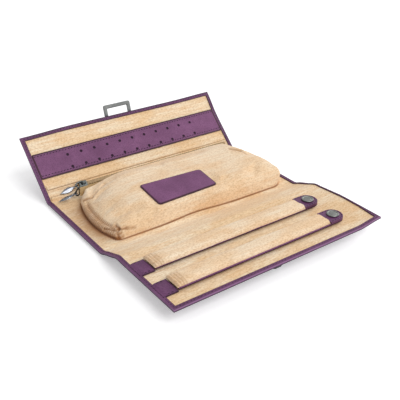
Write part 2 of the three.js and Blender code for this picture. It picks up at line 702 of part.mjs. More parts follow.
const ring = new THREE.Group();
ring.name = 'ring_swing';
ring.rotation.x = RING_LEAN;
ringPivot.add(ring);
const ringHalf = RING_WIDTH / 2;
const barHalf = RING_BAR / 2;
const ringEnd = RING_LENGTH - barHalf;
const ringOutline = roundedShape(-ringHalf, ringHalf, -barHalf, ringEnd, Array(4).fill(RING_ROUND));
ringOutline.holes.push(roundedShape(
  -ringHalf + RING_FACE,
  ringHalf - RING_FACE,
  barHalf,
  ringEnd - RING_FACE,
  Array(4).fill(RING_ROUND / 2),
));
const ringBevel = {
  depth: RING_BAR - 2 * RING_CHAMFER,
  bevelThickness: RING_CHAMFER,
  bevelSize: RING_CHAMFER,
  bevelOffset: -RING_CHAMFER,
  bevelSegments: 1,
  curveSegments: 2,
};
const ringBody = new THREE.ExtrudeGeometry(ringOutline, ringBevel).translate(0, 0, RING_CHAMFER - barHalf);
add(ring, 'closure_ring', ringBody, 'steel');

// Zip with its slider, link and leaf. The group's X runs along the teeth and its Z faces out. The
// link and the leaf's eye slip round the link's bends as they hang.
function zip(parent, name, sliderX, endX, pull) {
  const { yaw, slip, droop, upright } = pull;
  const start = sliderX - SLIDER_LENGTH / 2;
  const half = TAPE_WIDTH / 2;
  const tape = raise(rectangle(start, endX, -half, half), SEAT, SEAT + TAPE_THICK);
  add(parent, `${name}_zip_tape`, tape, 'tape');
  add(parent, `${name}_zip_teeth`, zipTeeth(start, endX), 'teeth');
  const slider = new THREE.Group();
  slider.name = `${name}_zip_slide`;
  slider.position.x = sliderX;
  parent.add(slider);
  add(slider, `${name}_slider`, zipSlider(), 'nickel');
  const bend = (LINK_WIDTH - WIRE) / 2;
  const hook = new THREE.Group();
  hook.name = `${name}_link_swing`;
  hook.position.z = LINK_HEIGHT;
  slider.add(hook);
  const link = new THREE.Group();
  link.position.set(bend * Math.cos(yaw) - bend, bend * Math.sin(yaw), 0);
  link.rotation.z = yaw;
  hook.add(link);
  add(link, `${name}_link`, zipLink(), 'nickel');
  const leaf = new THREE.Group();
  leaf.name = `${name}_pull_swing`;
  leaf.position.set(bend - LINK_SPAN - bend * Math.cos(slip), -bend * Math.sin(slip), 0);
  leaf.rotation.set(upright ? 0 : Math.PI / 2, -droop, slip, 'ZXY');
  link.add(leaf);
  add(leaf, `${name}_pull`, zipLeaf(upright), 'nickel');
}

// Pocket zip along the foot of the back spine
const pocketZip = new THREE.Group();
pocketZip.position.set(0, POCKET_ZIP_FROM_FOLD, LINING_TOP);
backSpine.add(pocketZip);
zip(pocketZip, 'pocket', POCKET_SLIDER_X, POCKET_ZIP_END, {
  yaw: POCKET_PULL_YAW,
  slip: 0,
  droop: POCKET_PULL_DROOP,
  upright: true,
});

// Pouch: boxed bag with rounded ends and shoulders, standing on the middle lining
const POUCH_LOW = PANEL + LINING_TOP + SEAT;
const POUCH_TOP = POUCH_LOW + POUCH_HEIGHT;

function shoulder(height, { from, reach }) {
  const rise = Math.max(0, (height - from) / (POUCH_HEIGHT - from));
  return reach * (1 - Math.sqrt(1 - Math.min(1, rise) ** 2));
}

function pouchBody() {
  return loft(POUCH_LEVELS.map((height) => {
    const foot = height === 0 ? POUCH_FOOT_TUCK : 0;
    const ends = foot + shoulder(height, POUCH_END_SHOULDER);
    const frontIn = foot + shoulder(height, POUCH_FRONT_SHOULDER);
    const backIn = foot / 3 + shoulder(height, POUCH_BACK_SHOULDER);
    const corner = POUCH_CORNER - ends / 2;
    const outline = roundedShape(
      POUCH_LEFT + ends,
      POUCH_RIGHT - ends,
      POUCH_FRONT + frontIn,
      POUCH_BACK - backIn,
      Array(4).fill(corner),
    );
    const points = outline.getPoints(4);
    if (points[0].distanceTo(points.at(-1)) < 1e-6) points.pop();
    return points.map((p) => new THREE.Vector3(p.x, p.y, POUCH_LOW + height));
  }));
}

add(wallet, 'pouch_body', pouchBody(), 'suede');
const patchY = POUCH_FRONT + PATCH_FROM_FRONT;
const patchOutline = roundedShape(
  PATCH_X - PATCH_LENGTH / 2,
  PATCH_X + PATCH_LENGTH / 2,
  patchY - PATCH_WIDTH / 2,
  patchY + PATCH_WIDTH / 2,
  Array(4).fill(PATCH_ROUND),
);
const patchLow = POUCH_TOP + SEAT;
add(wallet, 'pouch_patch', raise(patchOutline, patchLow, patchLow + PATCH_THICK, 3), 'leather');

// Pouch zip on the rear wall of the pouch, facing the back spine
const pouchZip = new THREE.Group();
pouchZip.position.set(0, POUCH_BACK, POUCH_ZIP_HEIGHT);
pouchZip.rotation.x = -Math.PI / 2;
wallet.add(pouchZip);
zip(pouchZip, 'pouch', POUCH_SLIDER_X, POUCH_ZIP_END, {
  yaw: -POUCH_LINK_YAW,
  slip: POUCH_LINK_YAW,
  droop: POUCH_PULL_DROOP,
  upright: false,
});

export default wallet;
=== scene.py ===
import json
import math

import bmesh
import bpy
import numpy as np
from mathutils import Matrix, Vector, noise
from mathutils.bvhtree import BVHTree


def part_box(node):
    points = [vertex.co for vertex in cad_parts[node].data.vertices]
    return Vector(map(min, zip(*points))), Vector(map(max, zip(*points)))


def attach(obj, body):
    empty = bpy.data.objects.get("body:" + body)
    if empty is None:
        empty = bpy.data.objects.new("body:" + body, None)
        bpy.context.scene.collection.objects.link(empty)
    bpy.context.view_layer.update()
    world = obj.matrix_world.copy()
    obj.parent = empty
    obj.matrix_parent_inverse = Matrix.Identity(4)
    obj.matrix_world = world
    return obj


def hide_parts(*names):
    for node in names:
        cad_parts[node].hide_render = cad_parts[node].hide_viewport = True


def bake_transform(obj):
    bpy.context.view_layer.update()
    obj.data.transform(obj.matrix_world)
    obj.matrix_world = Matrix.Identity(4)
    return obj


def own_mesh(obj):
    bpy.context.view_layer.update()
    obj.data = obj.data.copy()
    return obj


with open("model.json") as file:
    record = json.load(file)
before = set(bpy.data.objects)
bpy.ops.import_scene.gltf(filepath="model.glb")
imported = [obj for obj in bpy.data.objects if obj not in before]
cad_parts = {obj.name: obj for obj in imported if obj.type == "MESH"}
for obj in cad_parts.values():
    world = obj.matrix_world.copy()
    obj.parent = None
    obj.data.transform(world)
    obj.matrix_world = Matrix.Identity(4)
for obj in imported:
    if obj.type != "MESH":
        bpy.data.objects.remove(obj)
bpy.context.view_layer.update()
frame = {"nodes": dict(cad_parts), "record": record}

# The wallet laid flat: middle panel at Y 0, border top at the panel's full height
WIDTH = 250
PANEL = 5
BINDING = 4.6
FRONT_END = -179
BACK_END = 133
EDGE_ROUND = 1.1
EDGE_THIN = 2.2
EDGE_TAPER = 8
TURNED_EDGE = 0.6
WINDOW_DEPTH = 0.8
SKIN = 1.05
LINING_TOP = PANEL - 1.12
LINING_THICK = 1.1
LINING_HALF = WIDTH / 2 - 1.3
LINING_MARGIN = 1.4

# Creases: the line it turns about, where the bend starts and ends, the turn it lies open at
CREASES = {
    "front_crease": {
        "line": -88, "near": -79, "far": -97, "turn": 19.5,
        "bodies": ("front_spine", "front_panel"),
    },
    "front_spine_crease": {
        "line": -55, "near": -51, "far": -66, "turn": -19.5,
        "bodies": ("middle_panel", "front_spine"),
    },
    "flap_crease": {
        "line": 80, "near": 75.4, "far": 80.4, "turn": 0,
        "bodies": ("back_spine", "back_flap"),
    },
    "back_crease": {
        "line": 55, "near": 49.5, "far": 57.3, "turn": 42,
        "bodies": ("middle_panel", "back_spine"),
    },
}
# Panels between the creases: front end, back end and body
PANELS = {
    "front": (FRONT_END, -97, "front_panel"),
    "front_spine": (-79, -66, "front_spine"),
    "middle": (-51, 49.5, "middle_panel"),
    "back_spine": (57.3, 75.4, "back_spine"),
    "back": (80.4, BACK_END, "back_flap"),
}
CREASE_STEP = 0.9
PANEL_STEP = 9
FLAP_STEP = 12
CURL_STEP = 4

# How the worn leather departs from flat panels with straight sides
CURL_HEIGHT = 3.6
CURL_START = 93
CURL_REACH = 34
CURL_BACK = -84
CURL_RUN = 42
SLIM_BORDER = 2.2
SLIM_INNER = 112
SLIM_OUTER = 121.5
SLIM_FRONT = -172
SLIM_BACK = -70
FLARE_START = 100
FLARE_REACH = BACK_END - FLARE_START
FLARE_RIGHT = 70
FLARE_LEFT = -60
FLARE_OUT = 2.6
FLARE_UP = 1.2
FLARE_FALL = 1.6

# Stitching
STITCH_PITCH = 3.6
STITCH_LENGTH = 2.5
STITCH_WIDTH = 0.7
STITCH_SLANT = math.radians(9)
SEAM_IN = 2.5

# Camera and light
CAMERA_PLACE = (-0.36649, -0.51927, 0.3553)
CAMERA_AZIMUTH = math.radians(-37.642)
CAMERA_ELEVATION = math.radians(29.567)
CAMERA_ROLL = math.radians(1.949)
CAMERA_LENS = 60.104
FLOOR_Z = -0.0002
FLOOR_WHITE = (0.86, 0.86, 0.865, 1)
FLOOR_LIFT = 0.36
ROOM_LIGHT = 0.5
# Softboxes: name, place, size and power
SOFTBOXES = (
    ("front softbox", (0.5, -2.4, 2.9), 2.2, 76),
    ("right softbox", (3.4, 0.3, 1.7), 1.5, 42),
)


def rgb(red, green, blue):
    """Screen colour from 0 to 255 as the linear colour a shader takes"""
    def linear(value):
        value = value / 255
        return value / 12.92 if value <= 0.04045 else ((value + 0.055) / 1.055) ** 2.4

    return (linear(red), linear(green), linear(blue), 1)


# Shader nodes


def node(tree, kind, inputs=None, **settings):
    made = tree.nodes.new("ShaderNode" + kind)
    for key, value in settings.items():
        setattr(made, key, value)
    for key, value in (inputs or {}).items():
        socket = made.inputs[key]
        if isinstance(value, bpy.types.NodeSocket):
            tree.links.new(value, socket)
        else:
            socket.default_value = value
    return made


def group(name, floats, outputs):
    """Node group that reads Position and named values"""
    tree = bpy.data.node_groups.new(name, "ShaderNodeTree")
    tree.interface.new_socket("Position", in_out="INPUT", socket_type="NodeSocketVector")
    for key, value in floats.items():
        tree.interface.new_socket(key, in_out="INPUT", socket_type="NodeSocketFloat").default_value = value
    for key in outputs:
        tree.interface.new_socket(key, in_out="OUTPUT", socket_type="NodeSocketFloat")
    source = tree.nodes.new("NodeGroupInput")
    target = tree.nodes.new("NodeGroupOutput")
    return tree, source.outputs, target.inputs


def give(tree, target, **values):
    """Links what a group has made to its outputs"""
    for key, value in values.items():
        tree.links.new(value, target[key])


def math_node(tree, operation, first, second):
    return node(tree, "Math", {0: first, 1: second}, operation=operation).outputs[0]


def stretched(tree, position, x, y, z):
    """Position with each axis scaled, so that a pattern is drawn out along the small ones"""
    return node(tree, "VectorMath", {0: position, 1: (x, y, z)}, operation="MULTIPLY").outputs[0]


def noise_node(tree, position, scale, detail=3, roughness=0.5):
    inputs = {"Vector": position, "Scale": scale, "Detail": detail, "Roughness": roughness}
    return node(tree, "TexNoise", inputs).outputs["Fac"]


def leather_grain_group():
    """Pebbled grain of dyed leather: cell Height with Pits between, and slow Tone"""
    tree, source, target = group("leather grain", {"Grain": 900, "Mottle": 45}, ["Height", "Pits", "Tone"])
    warp = noise_node(tree, source["Position"], 240, 2)
    bent = node(tree, "VectorMath", {0: source["Position"], 1: (0, 0, 0)}, operation="ADD")
    shift = node(tree, "VectorMath", {0: warp, 3: 0.0009}, operation="SCALE")
    tree.links.new(shift.outputs[0], bent.inputs[1])
    cells = node(tree, "TexVoronoi", {"Vector": bent.outputs[0], "Scale": source["Grain"]}, feature="F1")
    fine = noise_node(tree, source["Position"], 2600, 3)
    pits = node(tree, "MapRange", {"Value": cells.outputs["Distance"], "From Min": 0.35, "From Max": 0.8})
    height = math_node(tree, "SUBTRACT", math_node(tree, "MULTIPLY", fine, 0.35), pits.outputs[0])
    tone = noise_node(tree, source["Position"], source["Mottle"], 4, 0.6)
    give(tree, target, Height=height, Pits=pits.outputs[0], Tone=tone)
    return tree


def nap_group():
    """Brushed suede: fine Height, Speckle, Streaks drawn out along X, and wide Patches"""
    tree, source, target = group("suede nap", {"Fibre": 1500}, ["Height", "Speckle", "Streaks", "Patches"])
    fibre = noise_node(tree, source["Position"], source["Fibre"], 5, 0.7)
    speckle = noise_node(tree, stretched(tree, source["Position"], 0.5, 1, 1), 900, 3, 0.6)
    streaks = noise_node(tree, stretched(tree, source["Position"], 0.07, 1, 1), 420, 4, 0.6)
    patches = noise_node(tree, stretched(tree, source["Position"], 0.5, 1, 1), 38, 3, 0.55)
    height = math_node(tree, "ADD", fibre, math_node(tree, "MULTIPLY", streaks, 0.6))
    give(tree, target, Height=height, Speckle=speckle, Streaks=streaks, Patches=patches)
    return tree


def blank_material(name, **constants):
    """Material with a Principled shader whose constants are set on its own sockets"""
    made = bpy.data.materials.new(name)
    made.use_nodes = True
    tree = made.node_tree
    shader = tree.nodes["Principled BSDF"]
    for key, value in constants.items():
        shader.inputs[key.replace("_", " ")].default_value = value
    position = node(tree, "TexCoord").outputs["Object"]
    return made, tree, shader, position


def effect(tree, nodes, position, **values):
    placed = node(tree, "Group", node_tree=nodes)
    tree.links.new(position, placed.inputs["Position"])
    for key, value in values.items():
        placed.inputs[key].default_value = value
    return placed.outputs


def ramp(tree, factor, low, high, start=0.3, end=0.7):
    made = node(tree, "ValToRGB", {"Fac": factor})
    made.color_ramp.elements[0].position = start
    made.color_ramp.elements[0].color = low
    made.color_ramp.elements[1].position = end
    made.color_ramp.elements[1].color = high
    return made.outputs["Color"]


def mixed(tree, factor, first, second, blend="MIX"):
    inputs = {0: factor, 6: first, 7: second}
    return node(tree, "Mix", inputs, data_type="RGBA", blend_type=blend).outputs[2]


def shade_of(tree, name):
    """Shade that is kept in the mesh under a name"""
    return node(tree, "Attribute", attribute_name=name).outputs["Fac"]


def roughen(tree, shader, value, low, high):
    """Roughness that follows a value from 0 to 1"""
    rough = node(tree, "MapRange", {"Value": value, "To Min": low, "To Max": high})
    tree.links.new(rough.outputs[0], shader.inputs["Roughness"])


def bump(tree, shader, height, strength, distance):
    made = node(tree, "Bump", {"Height": height, "Strength": strength, "Distance": distance})
    tree.links.new(made.outputs[0], shader.inputs["Normal"])


GRAIN = leather_grain_group()
NAP = nap_group()
# Painted highlight on the lit rolled edge of the near borders
HIGHLIGHT_COLOUR = rgb(148, 110, 146)
# Dark outer edge of leather, also painted shade on the near sides' lower rim
OUTLINE = rgb(42, 24, 40)
# Painted warm shade of suede, in creases, at the pouch's foot and beside it
SUEDE_SHADE = rgb(146, 90, 42)
SPECK = rgb(229, 219, 207)
CLEAR = rgb(255, 255, 255)


def leather_material(name, low, high, pit, roughness):
    """Grained leather whose meshes may carry two shades: a painted highlight on the near rolled border edge,
    and the fold shade, which darkens edges and paints shade
    """
    made, tree, shader, position = blank_material(name, Specular_IOR_Level=0.25)
    grain = effect(tree, GRAIN, position)
    colour = ramp(tree, grain["Tone"], low, high, 0.32, 0.68)
    shaded = mixed(tree, math_node(tree, "MULTIPLY", grain["Pits"], 0.45), colour, pit)
    highlighted = mixed(tree, shade_of(tree, "painted_highlight"), shaded, HIGHLIGHT_COLOUR)
    darkened = mixed(tree, shade_of(tree, "fold"), highlighted, OUTLINE)
    tree.links.new(darkened, shader.inputs["Base Color"])
    roughen(tree, shader, grain["Tone"], roughness - 0.07, roughness + 0.07)
    bump(tree, shader, grain["Height"], 0.35, 0.00012)
    return made


def suede_material(name, pale, warm, peach, streak):
    made, tree, shader, position = blank_material(name, Specular_IOR_Level=0.15, Sheen_Weight=0.25)
    nap = effect(tree, NAP, position)
    tone = ramp(tree, nap["Patches"], pale, warm, 0.42, 0.58)
    brushing = {"From Min": 0.4, "From Max": 0.64, "To Max": streak}
    brushed = node(tree, "MapRange", {"Value": nap["Streaks"], **brushing})
    streaked = mixed(tree, brushed.outputs[0], tone, peach)
    specks = ramp(tree, nap["Speckle"], SPECK, CLEAR, 0.34, 0.58)
    speckled = mixed(tree, 1, streaked, specks, "MULTIPLY")
    # Painted shade from the fold layer
    shaded_suede = mixed(tree, shade_of(tree, "fold"), speckled, SUEDE_SHADE)
    tree.links.new(shaded_suede, shader.inputs["Base Color"])
    roughen(tree, shader, nap["Speckle"], 0.85, 1)
    bump(tree, shader, nap["Height"], 0.5, 0.00025)
    return made


def metal_material(name, dull, bright, roughness):
    made, tree, shader, position = blank_material(name, Metallic=1)
    cloud = noise_node(tree, position, 260, 4, 0.6)
    scratch = noise_node(tree, stretched(tree, position, 0.12, 1, 1), 2600, 2)
    tree.links.new(ramp(tree, cloud, dull, bright), shader.inputs["Base Color"])
    roughen(tree, shader, cloud, roughness * 0.75, roughness * 1.3)
    bump(tree, shader, scratch, 0.12, 0.00004)
    return made


def thread_material(name, low, high):
    made, tree, shader, position = blank_material(name, Specular_IOR_Level=0.3, Roughness=0.7)
    twist = noise_node(tree, position, 1900, 2)
    tree.links.new(ramp(tree, twist, low, high), shader.inputs["Base Color"])
    bump(tree, shader, twist, 0.6, 0.00015)
    return made


def woven_material(name, low, high, scale):
    """Plain weave from two crossing waves"""
    made, tree, shader, position = blank_material(name, Specular_IOR_Level=0.2, Roughness=0.9)
    waves = {"Vector": position, "Scale": scale, "Distortion": 0.4}
    warp = node(tree, "TexWave", waves, bands_direction="X")
    weft = node(tree, "TexWave", waves, bands_direction="Y")
    weave = math_node(tree, "MULTIPLY", warp.outputs["Fac"], weft.outputs["Fac"])
    tree.links.new(ramp(tree, weave, low, high, 0.1, 0.7), shader.inputs["Base Color"])
    bump(tree, shader, weave, 0.5, 0.0001)
    return made


def moulded_material(name, low, high, roughness):
    made, tree, shader, position = blank_material(name, Roughness=roughness)
    cloud = noise_node(tree, position, 420, 3)
    tree.links.new(ramp(tree, cloud, low, high), shader.inputs["Base Color"])
    bump(tree, shader, cloud, 0.2, 0.00008)
    return made


LEATHER = leather_material("purple leather", rgb(106, 60, 98), rgb(128, 80, 120), rgb(80, 42, 76), 0.48)
BORDER = leather_material("border leather", rgb(90, 50, 86), rgb(114, 68, 108), rgb(62, 32, 60), 0.45)
# Dark edge paint, also painted shade on the border window's cut edge, the strip edges and the backing sides
EDGE_PAINT_AND_SHADE = leather_material("edge paint and shade", rgb(58, 28, 46), rgb(74, 38, 56), rgb(40, 20, 34), 0.5)
SUEDE = suede_material("tan suede", rgb(245, 227, 199), rgb(238, 208, 168), rgb(229, 186, 137), 0.55)
POUCH_SUEDE = suede_material("pouch suede", rgb(246, 227, 200), rgb(240, 211, 175), rgb(232, 190, 144), 0.42)
NICKEL = metal_material("polished nickel", rgb(98, 100, 106), rgb(140, 142, 148), 0.26)
STEEL = metal_material("satin steel", rgb(118, 120, 120), rgb(140, 142, 140), 0.36)
CAP_NICKEL = metal_material("brushed nickel cap", rgb(108, 110, 108), rgb(128, 130, 126), 0.42)
ZIP_METAL = metal_material("dark zip metal", rgb(58, 62, 62), rgb(92, 96, 94), 0.34)
THREAD = thread_material("dark thread", rgb(34, 16, 34), rgb(54, 28, 52))
# Painted shade of the punched holes
HOLE_SHADE = leather_material("painted hole shade", rgb(38, 14, 36), rgb(50, 22, 46), rgb(26, 10, 24), 0.8)
TAPE = woven_material("zip tape", rgb(178, 150, 108), rgb(212, 184, 138), 1500)
TEETH = moulded_material("zip teeth", rgb(140, 112, 74), rgb(168, 140, 98), 0.5)
BOARD = moulded_material("stiffening board", rgb(120, 112, 100), rgb(142, 134, 122), 0.9)

SLOT_MATERIALS = {
    "leather": LEATHER,
    "suede": SUEDE,
    "pad": POUCH_SUEDE,
    "board": BOARD,
    "tape": TAPE,
    "teeth": TEETH,
    "nickel": NICKEL,
    "steel": STEEL,
}


def dress_nodes():
    """Gives every carried-over part the material of its slot"""
    for subpart in frame["record"]["subparts"]:
        part = frame["nodes"][subpart["node"]]
        part.data.materials.clear()
        part.data.materials.append(SLOT_MATERIALS[subpart["material_slot"]])
    for name in ("pocket_slider", "pouch_slider", "pocket_link", "pouch_link"):
        frame["nodes"][name].material_slots[0].material = ZIP_METAL
    for number in (1, 2):
        frame["nodes"][f"strap_{number}_snap_cap"].material_slots[0].material = CAP_NICKEL
        frame["nodes"][f"strap_{number}_end_tab"].material_slots[0].material = BORDER


# Folding the flat work, and finishing pieces


def wave_at(x, y, z):
    return noise.noise(Vector((x, y, z)))


def eased(value):
    value = min(1, max(0, value))
    return value * value * (3 - 2 * value)


def bell(value):
    return math.exp(-(value ** 2))


def curl(x, y):
    """Height that the front panel's right side stands up by"""
    return CURL_HEIGHT * eased((x - CURL_START) / CURL_REACH) * min(1, max(0, (CURL_BACK - y) / CURL_RUN))


def slimmer(x, y):
    """Shift that narrows the border on the front panel's right side"""
    band = eased((x - SLIM_INNER) / 7) * (1 - eased((x - SLIM_OUTER) / 3))
    return SLIM_BORDER * band * eased((SLIM_BACK - y) / 12) * eased((y - SLIM_FRONT) / 22)


def flare(x, y):
    """Shift of the flap's free edge: its right corner stands out and its left one falls back"""
    outward = eased((y - FLARE_START) / FLARE_REACH)
    right = eased((x - FLARE_RIGHT) / (WIDTH / 2 - FLARE_RIGHT))
    left = eased((FLARE_LEFT - x) / (WIDTH / 2 + FLARE_LEFT))
    return Vector((FLARE_OUT * right, FLARE_UP * right - FLARE_FALL * left, 0)) * outward


def folded(point):
    """Place on the open wallet of a point of the flat work"""
    x, flat_y, z = point
    place = Vector((x + slimmer(x, flat_y), flat_y, z + curl(x, flat_y))) + flare(x, flat_y)
    for crease in CREASES.values():
        share = eased((flat_y - crease["near"]) / (crease["far"] - crease["near"]))
        if share:
            centre = Vector((0, crease["line"], PANEL))
            turn = Matrix.Rotation(math.radians(crease["turn"]) * share, 3, "X")
            place = centre + turn @ (place - centre)
    return place


def fold(bm):
    for vert in bm.verts:
        vert.co = folded(vert.co)


def placed(name, data):
    """Object that carries the data, in the scene"""
    made = bpy.data.objects.new(name, data)
    bpy.context.collection.objects.link(made)
    return made


def mesh_of(name, bm):
    mesh = bpy.data.meshes.new(name)
    bm.to_mesh(mesh)
    return mesh


def piece(name, bm, materials, body=None, crease=None, sharp=40, ride=True):
    """Turns millimetre work into a finished piece in metres that rides a body; a crease piece keeps its
    folded shape in place
    """
    bmesh.ops.scale(bm, vec=(0.001, 0.001, 0.001), verts=bm.verts)
    for face in bm.faces:
        face.smooth = True
    for edge in bm.edges:
        edge.smooth = not edge.is_manifold or edge.calc_face_angle() < math.radians(sharp)
    mesh = mesh_of(name, bm)
    bm.free()
    for material in materials:
        mesh.materials.append(material)
    made = placed(name, mesh)
    if crease:
        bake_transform(made)
    elif ride:
        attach(made, body)
    return made


# Steps of bench work that several pieces share


def inner_corner(x, y, left, right, front, back, radius):
    """Nearest place to a point inside a rectangle that is smaller by the radius of its corners"""
    return min(max(x, left + radius), right - radius), min(max(y, front + radius), back - radius)


def step_out(x, y, inner_x, inner_y):
    """Step from there to the point, pulled in at the corners so that they come out round"""
    out = Vector((x - inner_x, y - inner_y))
    if out.x and out.y:
        out *= max(abs(out.x), abs(out.y)) / out.length
    return out


def all_of(bm):
    return bm.verts[:] + bm.edges[:] + bm.faces[:]


def in_millimetres(corners):
    """The two corners of a carried-over part, which come in metres"""
    return [Vector(corner) * 1000 for corner in corners]


def stretch(centre, size):
    """Matrix that brings a unit shape to a size and puts it at a place"""
    return Matrix.Translation(centre) @ Matrix.Diagonal((*size, 1))


def block(low, high):
    """Work that starts as a box between two corners"""
    bm = bmesh.new()
    bmesh.ops.create_cube(bm, size=1, matrix=stretch((low + high) / 2, high - low))
    return bm


def sheet(columns, rows, centre=(0, 0, 0), size=(1, 1, 1)):
    """Work that starts as a level grid, which reaches its size on both sides of its centre"""
    bm = bmesh.new()
    bmesh.ops.create_grid(bm, x_segments=columns, y_segments=rows, size=1, matrix=stretch(centre, size))
    return bm


def upright_edges(bm):
    return [edge for edge in bm.edges if abs(edge.verts[0].co.z - edge.verts[1].co.z) > 0.5]


def round_edges(bm, edges, offset, segments):
    looks = {"profile": 0.5, "affect": "EDGES", "material": -1}
    bmesh.ops.bevel(bm, geom=edges, offset=offset, segments=segments, **looks)


def inset(bm, face, thickness, depth=0):
    bmesh.ops.inset_region(bm, faces=[face], thickness=thickness, depth=depth, use_even_offset=True)


def thicken(bm, thickness):
    bmesh.ops.solidify(bm, geom=bm.faces[:], thickness=thickness)


def faces_of(made):
    """Faces of what a create operator has just made"""
    return {face for vert in made["verts"] for face in vert.link_faces}


def close_holes(bm):
    bmesh.ops.holes_fill(bm, edges=[edge for edge in bm.edges if edge.is_boundary], sides=0)


def cut_to(bm, low, high):
    """Keeps what lies between two Y planes and closes the cuts"""
    for y, outward in ((low, -1), (high, 1)):
        plane = {"plane_co": (0, y, 0), "plane_no": (0, outward, 0)}
        bmesh.ops.bisect_plane(bm, geom=all_of(bm), clear_outer=True, **plane)
    close_holes(bm)


def join(bm, other):
    """Adds other work to a piece of work"""
    mesh = mesh_of("joined", other)
    other.free()
    bm.from_mesh(mesh)
    bpy.data.meshes.remove(mesh)


def score(bm, low, high, step, across=(0, 1, 0)):
    """Adds cross cuts so that the work can bend"""
    count = max(1, round((high - low) / step))
    for i in range(1, count):
        place = Vector(across) * (low + (high - low) * i / count)
        bmesh.ops.bisect_plane(bm, geom=all_of(bm), plane_co=place, plane_no=across)


def zones():
    """Each stretch of the wallet: name, its two ends, body or crease"""
    for name, (low, high, body) in PANELS.items():
        yield name, low, high, body, None
    for name, crease in CREASES.items():
        low, high = sorted((crease["near"], crease["far"]))
        yield name, low, high, None, crease


# Leather cover


def stitch(bm, place, along, lift=0.12, material=2, length=STITCH_LENGTH, width=STITCH_WIDTH, up=(0, 0, 1)):
    """One sunk stitch: a slim grain of thread lying along a direction"""
    normal = Vector(up).normalized()
    along = (Matrix.Rotation(STITCH_SLANT, 3, normal) @ Vector(along)).normalized()
    across = normal.cross(along)
    turn = Matrix((along, across, normal)).transposed().to_4x4()
    size = Matrix.Diagonal((length / 2, width / 2, width / 2.4, 1))
    where = Matrix.Translation(Vector(place) + normal * lift)
    made = bmesh.ops.create_uvsphere(bm, u_segments=6, v_segments=5, radius=1, matrix=where @ turn @ size)
    for face in faces_of(made):
        face.material_index = material


def stitch_row(bm, start, end, low=-1000, high=1000, **looks):
    """Stitches from one point to another; only those between two Y values are made"""
    start, end = Vector(start), Vector(end)
    count = max(1, round((end - start).length / STITCH_PITCH))
    for i in range(count):
        place = start.lerp(end, (i + 0.5) / count)
        if low <= place.y < high:
            stitch(bm, place, end - start, **looks)


def border_stitches(bm, low, high):
    """Seam all round the turned border, and the same seam on the outside"""
    half = WIDTH / 2 - SEAM_IN
    outside = EDGE_THIN * (1 - eased(SEAM_IN / EDGE_TAPER)) + 0.2
    front = FRONT_END + SEAM_IN
    back = BACK_END - SEAM_IN
    corners = [(-half, front), (half, front), (half, back), (-half, back)]
    for i, corner in enumerate(corners):
        following = corners[(i + 1) % 4]
        stitch_row(bm, (*corner, PANEL - 0.3), (*following, PANEL - 0.3), low, high)
        stitch_row(bm, (*corner, outside), (*following, outside), low, high, up=(0, 0, -1))


def groove(bm, face, inward):
    """Seam channel pressed into a face, running round inside its outline"""
    for thickness, depth in ((inward, 0), (0.45, -0.25), (0.3, 0), (0.45, 0.25)):
        inset(bm, face, thickness, depth)


def pinch(bm):
    """Pares the panel thin towards its outer edge, from below"""
    for vert in bm.verts:
        x, y, z = vert.co
        inward = min(WIDTH / 2 - abs(x), y - FRONT_END, BACK_END - y)
        share = (1 - eased(inward / EDGE_TAPER)) * (1 - z / PANEL)
        vert.co.z += EDGE_THIN * share


def cover_shell():
    """Whole leather cover, flat: outer skin, rounded edges and turned border round an open window"""
    bm = block(Vector((-WIDTH / 2, FRONT_END, 0)), Vector((WIDTH / 2, BACK_END, PANEL)))
    rims = [edge for edge in bm.edges if abs(edge.verts[0].co.z - edge.verts[1].co.z) < 0.01]
    round_edges(bm, rims, EDGE_ROUND, 4)
    top = max(bm.faces, key=lambda face: face.calc_center_median().z)
    bottom = min(bm.faces, key=lambda face: face.calc_center_median().z)
    groove(bm, top, SEAM_IN - EDGE_ROUND - 0.6)
    groove(bm, bottom, SEAM_IN - EDGE_ROUND - 0.6)
    for thickness in (1.5, 1.5, 2):
        inset(bm, bottom, thickness)
    inset(bm, top, BINDING - SEAM_IN - 0.6 - TURNED_EDGE)
    turned = set(bm.faces)
    inset(bm, top, TURNED_EDGE, -0.25)
    inset(bm, top, 0.02, -WINDOW_DEPTH)
    # The turned edge and the window's cut wall: edge paint, also painted shade at the cut
    for face in set(bm.faces) - turned:
        face.material_index = 1
    bmesh.ops.delete(bm, geom=[top], context="FACES_ONLY")
    pinch(bm)
    thicken(bm, SKIN)
    return bm


def rim_shades(bm):
    """Dark outer edge of the border, also painted shade on the lower half of its near sides, and a painted
    highlight on the roll along its near sides
    """
    dark = edge_and_shade_layer(bm)
    highlighted = bm.verts.layers.float.new("painted_highlight")
    for vert in bm.verts:
        x, y, z = vert.co
        near = min(x + WIDTH / 2, y - FRONT_END)
        far = min(WIDTH / 2 - x, BACK_END - y)
        if far < near:
            vert[dark] = 0.8 * (1 - eased((far - 0.9) / 0.6))
        elif z < 3:
            # Painted shade on the lower half of the near sides' outer roll
            vert[dark] = 0.8 * (1 - eased((near - 1) / 0.6))
        else:
            # Painted highlight on the near sides' rolled edge, strongest on the front side
            vert[highlighted] = (0.8 if y - FRONT_END < 2 else 0.35) * (1 - eased((near - 0.3) / 0.6))


def leather_cover():
    whole = cover_shell()
    for name, low, high, body, crease in zones():
        bm = whole.copy()
        cut_to(bm, low, high)
        score(bm, low, high, CREASE_STEP if crease else PANEL_STEP)
        if body == "front_panel" or name == "front_crease":
            score(bm, CURL_START, CURL_START + CURL_REACH, CURL_STEP, across=(1, 0, 0))
        if name == "back":
            score(bm, -WIDTH / 2, WIDTH / 2, FLAP_STEP, across=(1, 0, 0))
        rim_shades(bm)
        seam = bmesh.new()
        border_stitches(seam, low, high)
        join(bm, seam)
        fold(bm)
        made = piece(f"leather_{name}", bm, [BORDER, EDGE_PAINT_AND_SHADE, THREAD], body, crease)
        if not crease:
            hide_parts(f"cover_{name}")
    whole.free()


# Suede lining


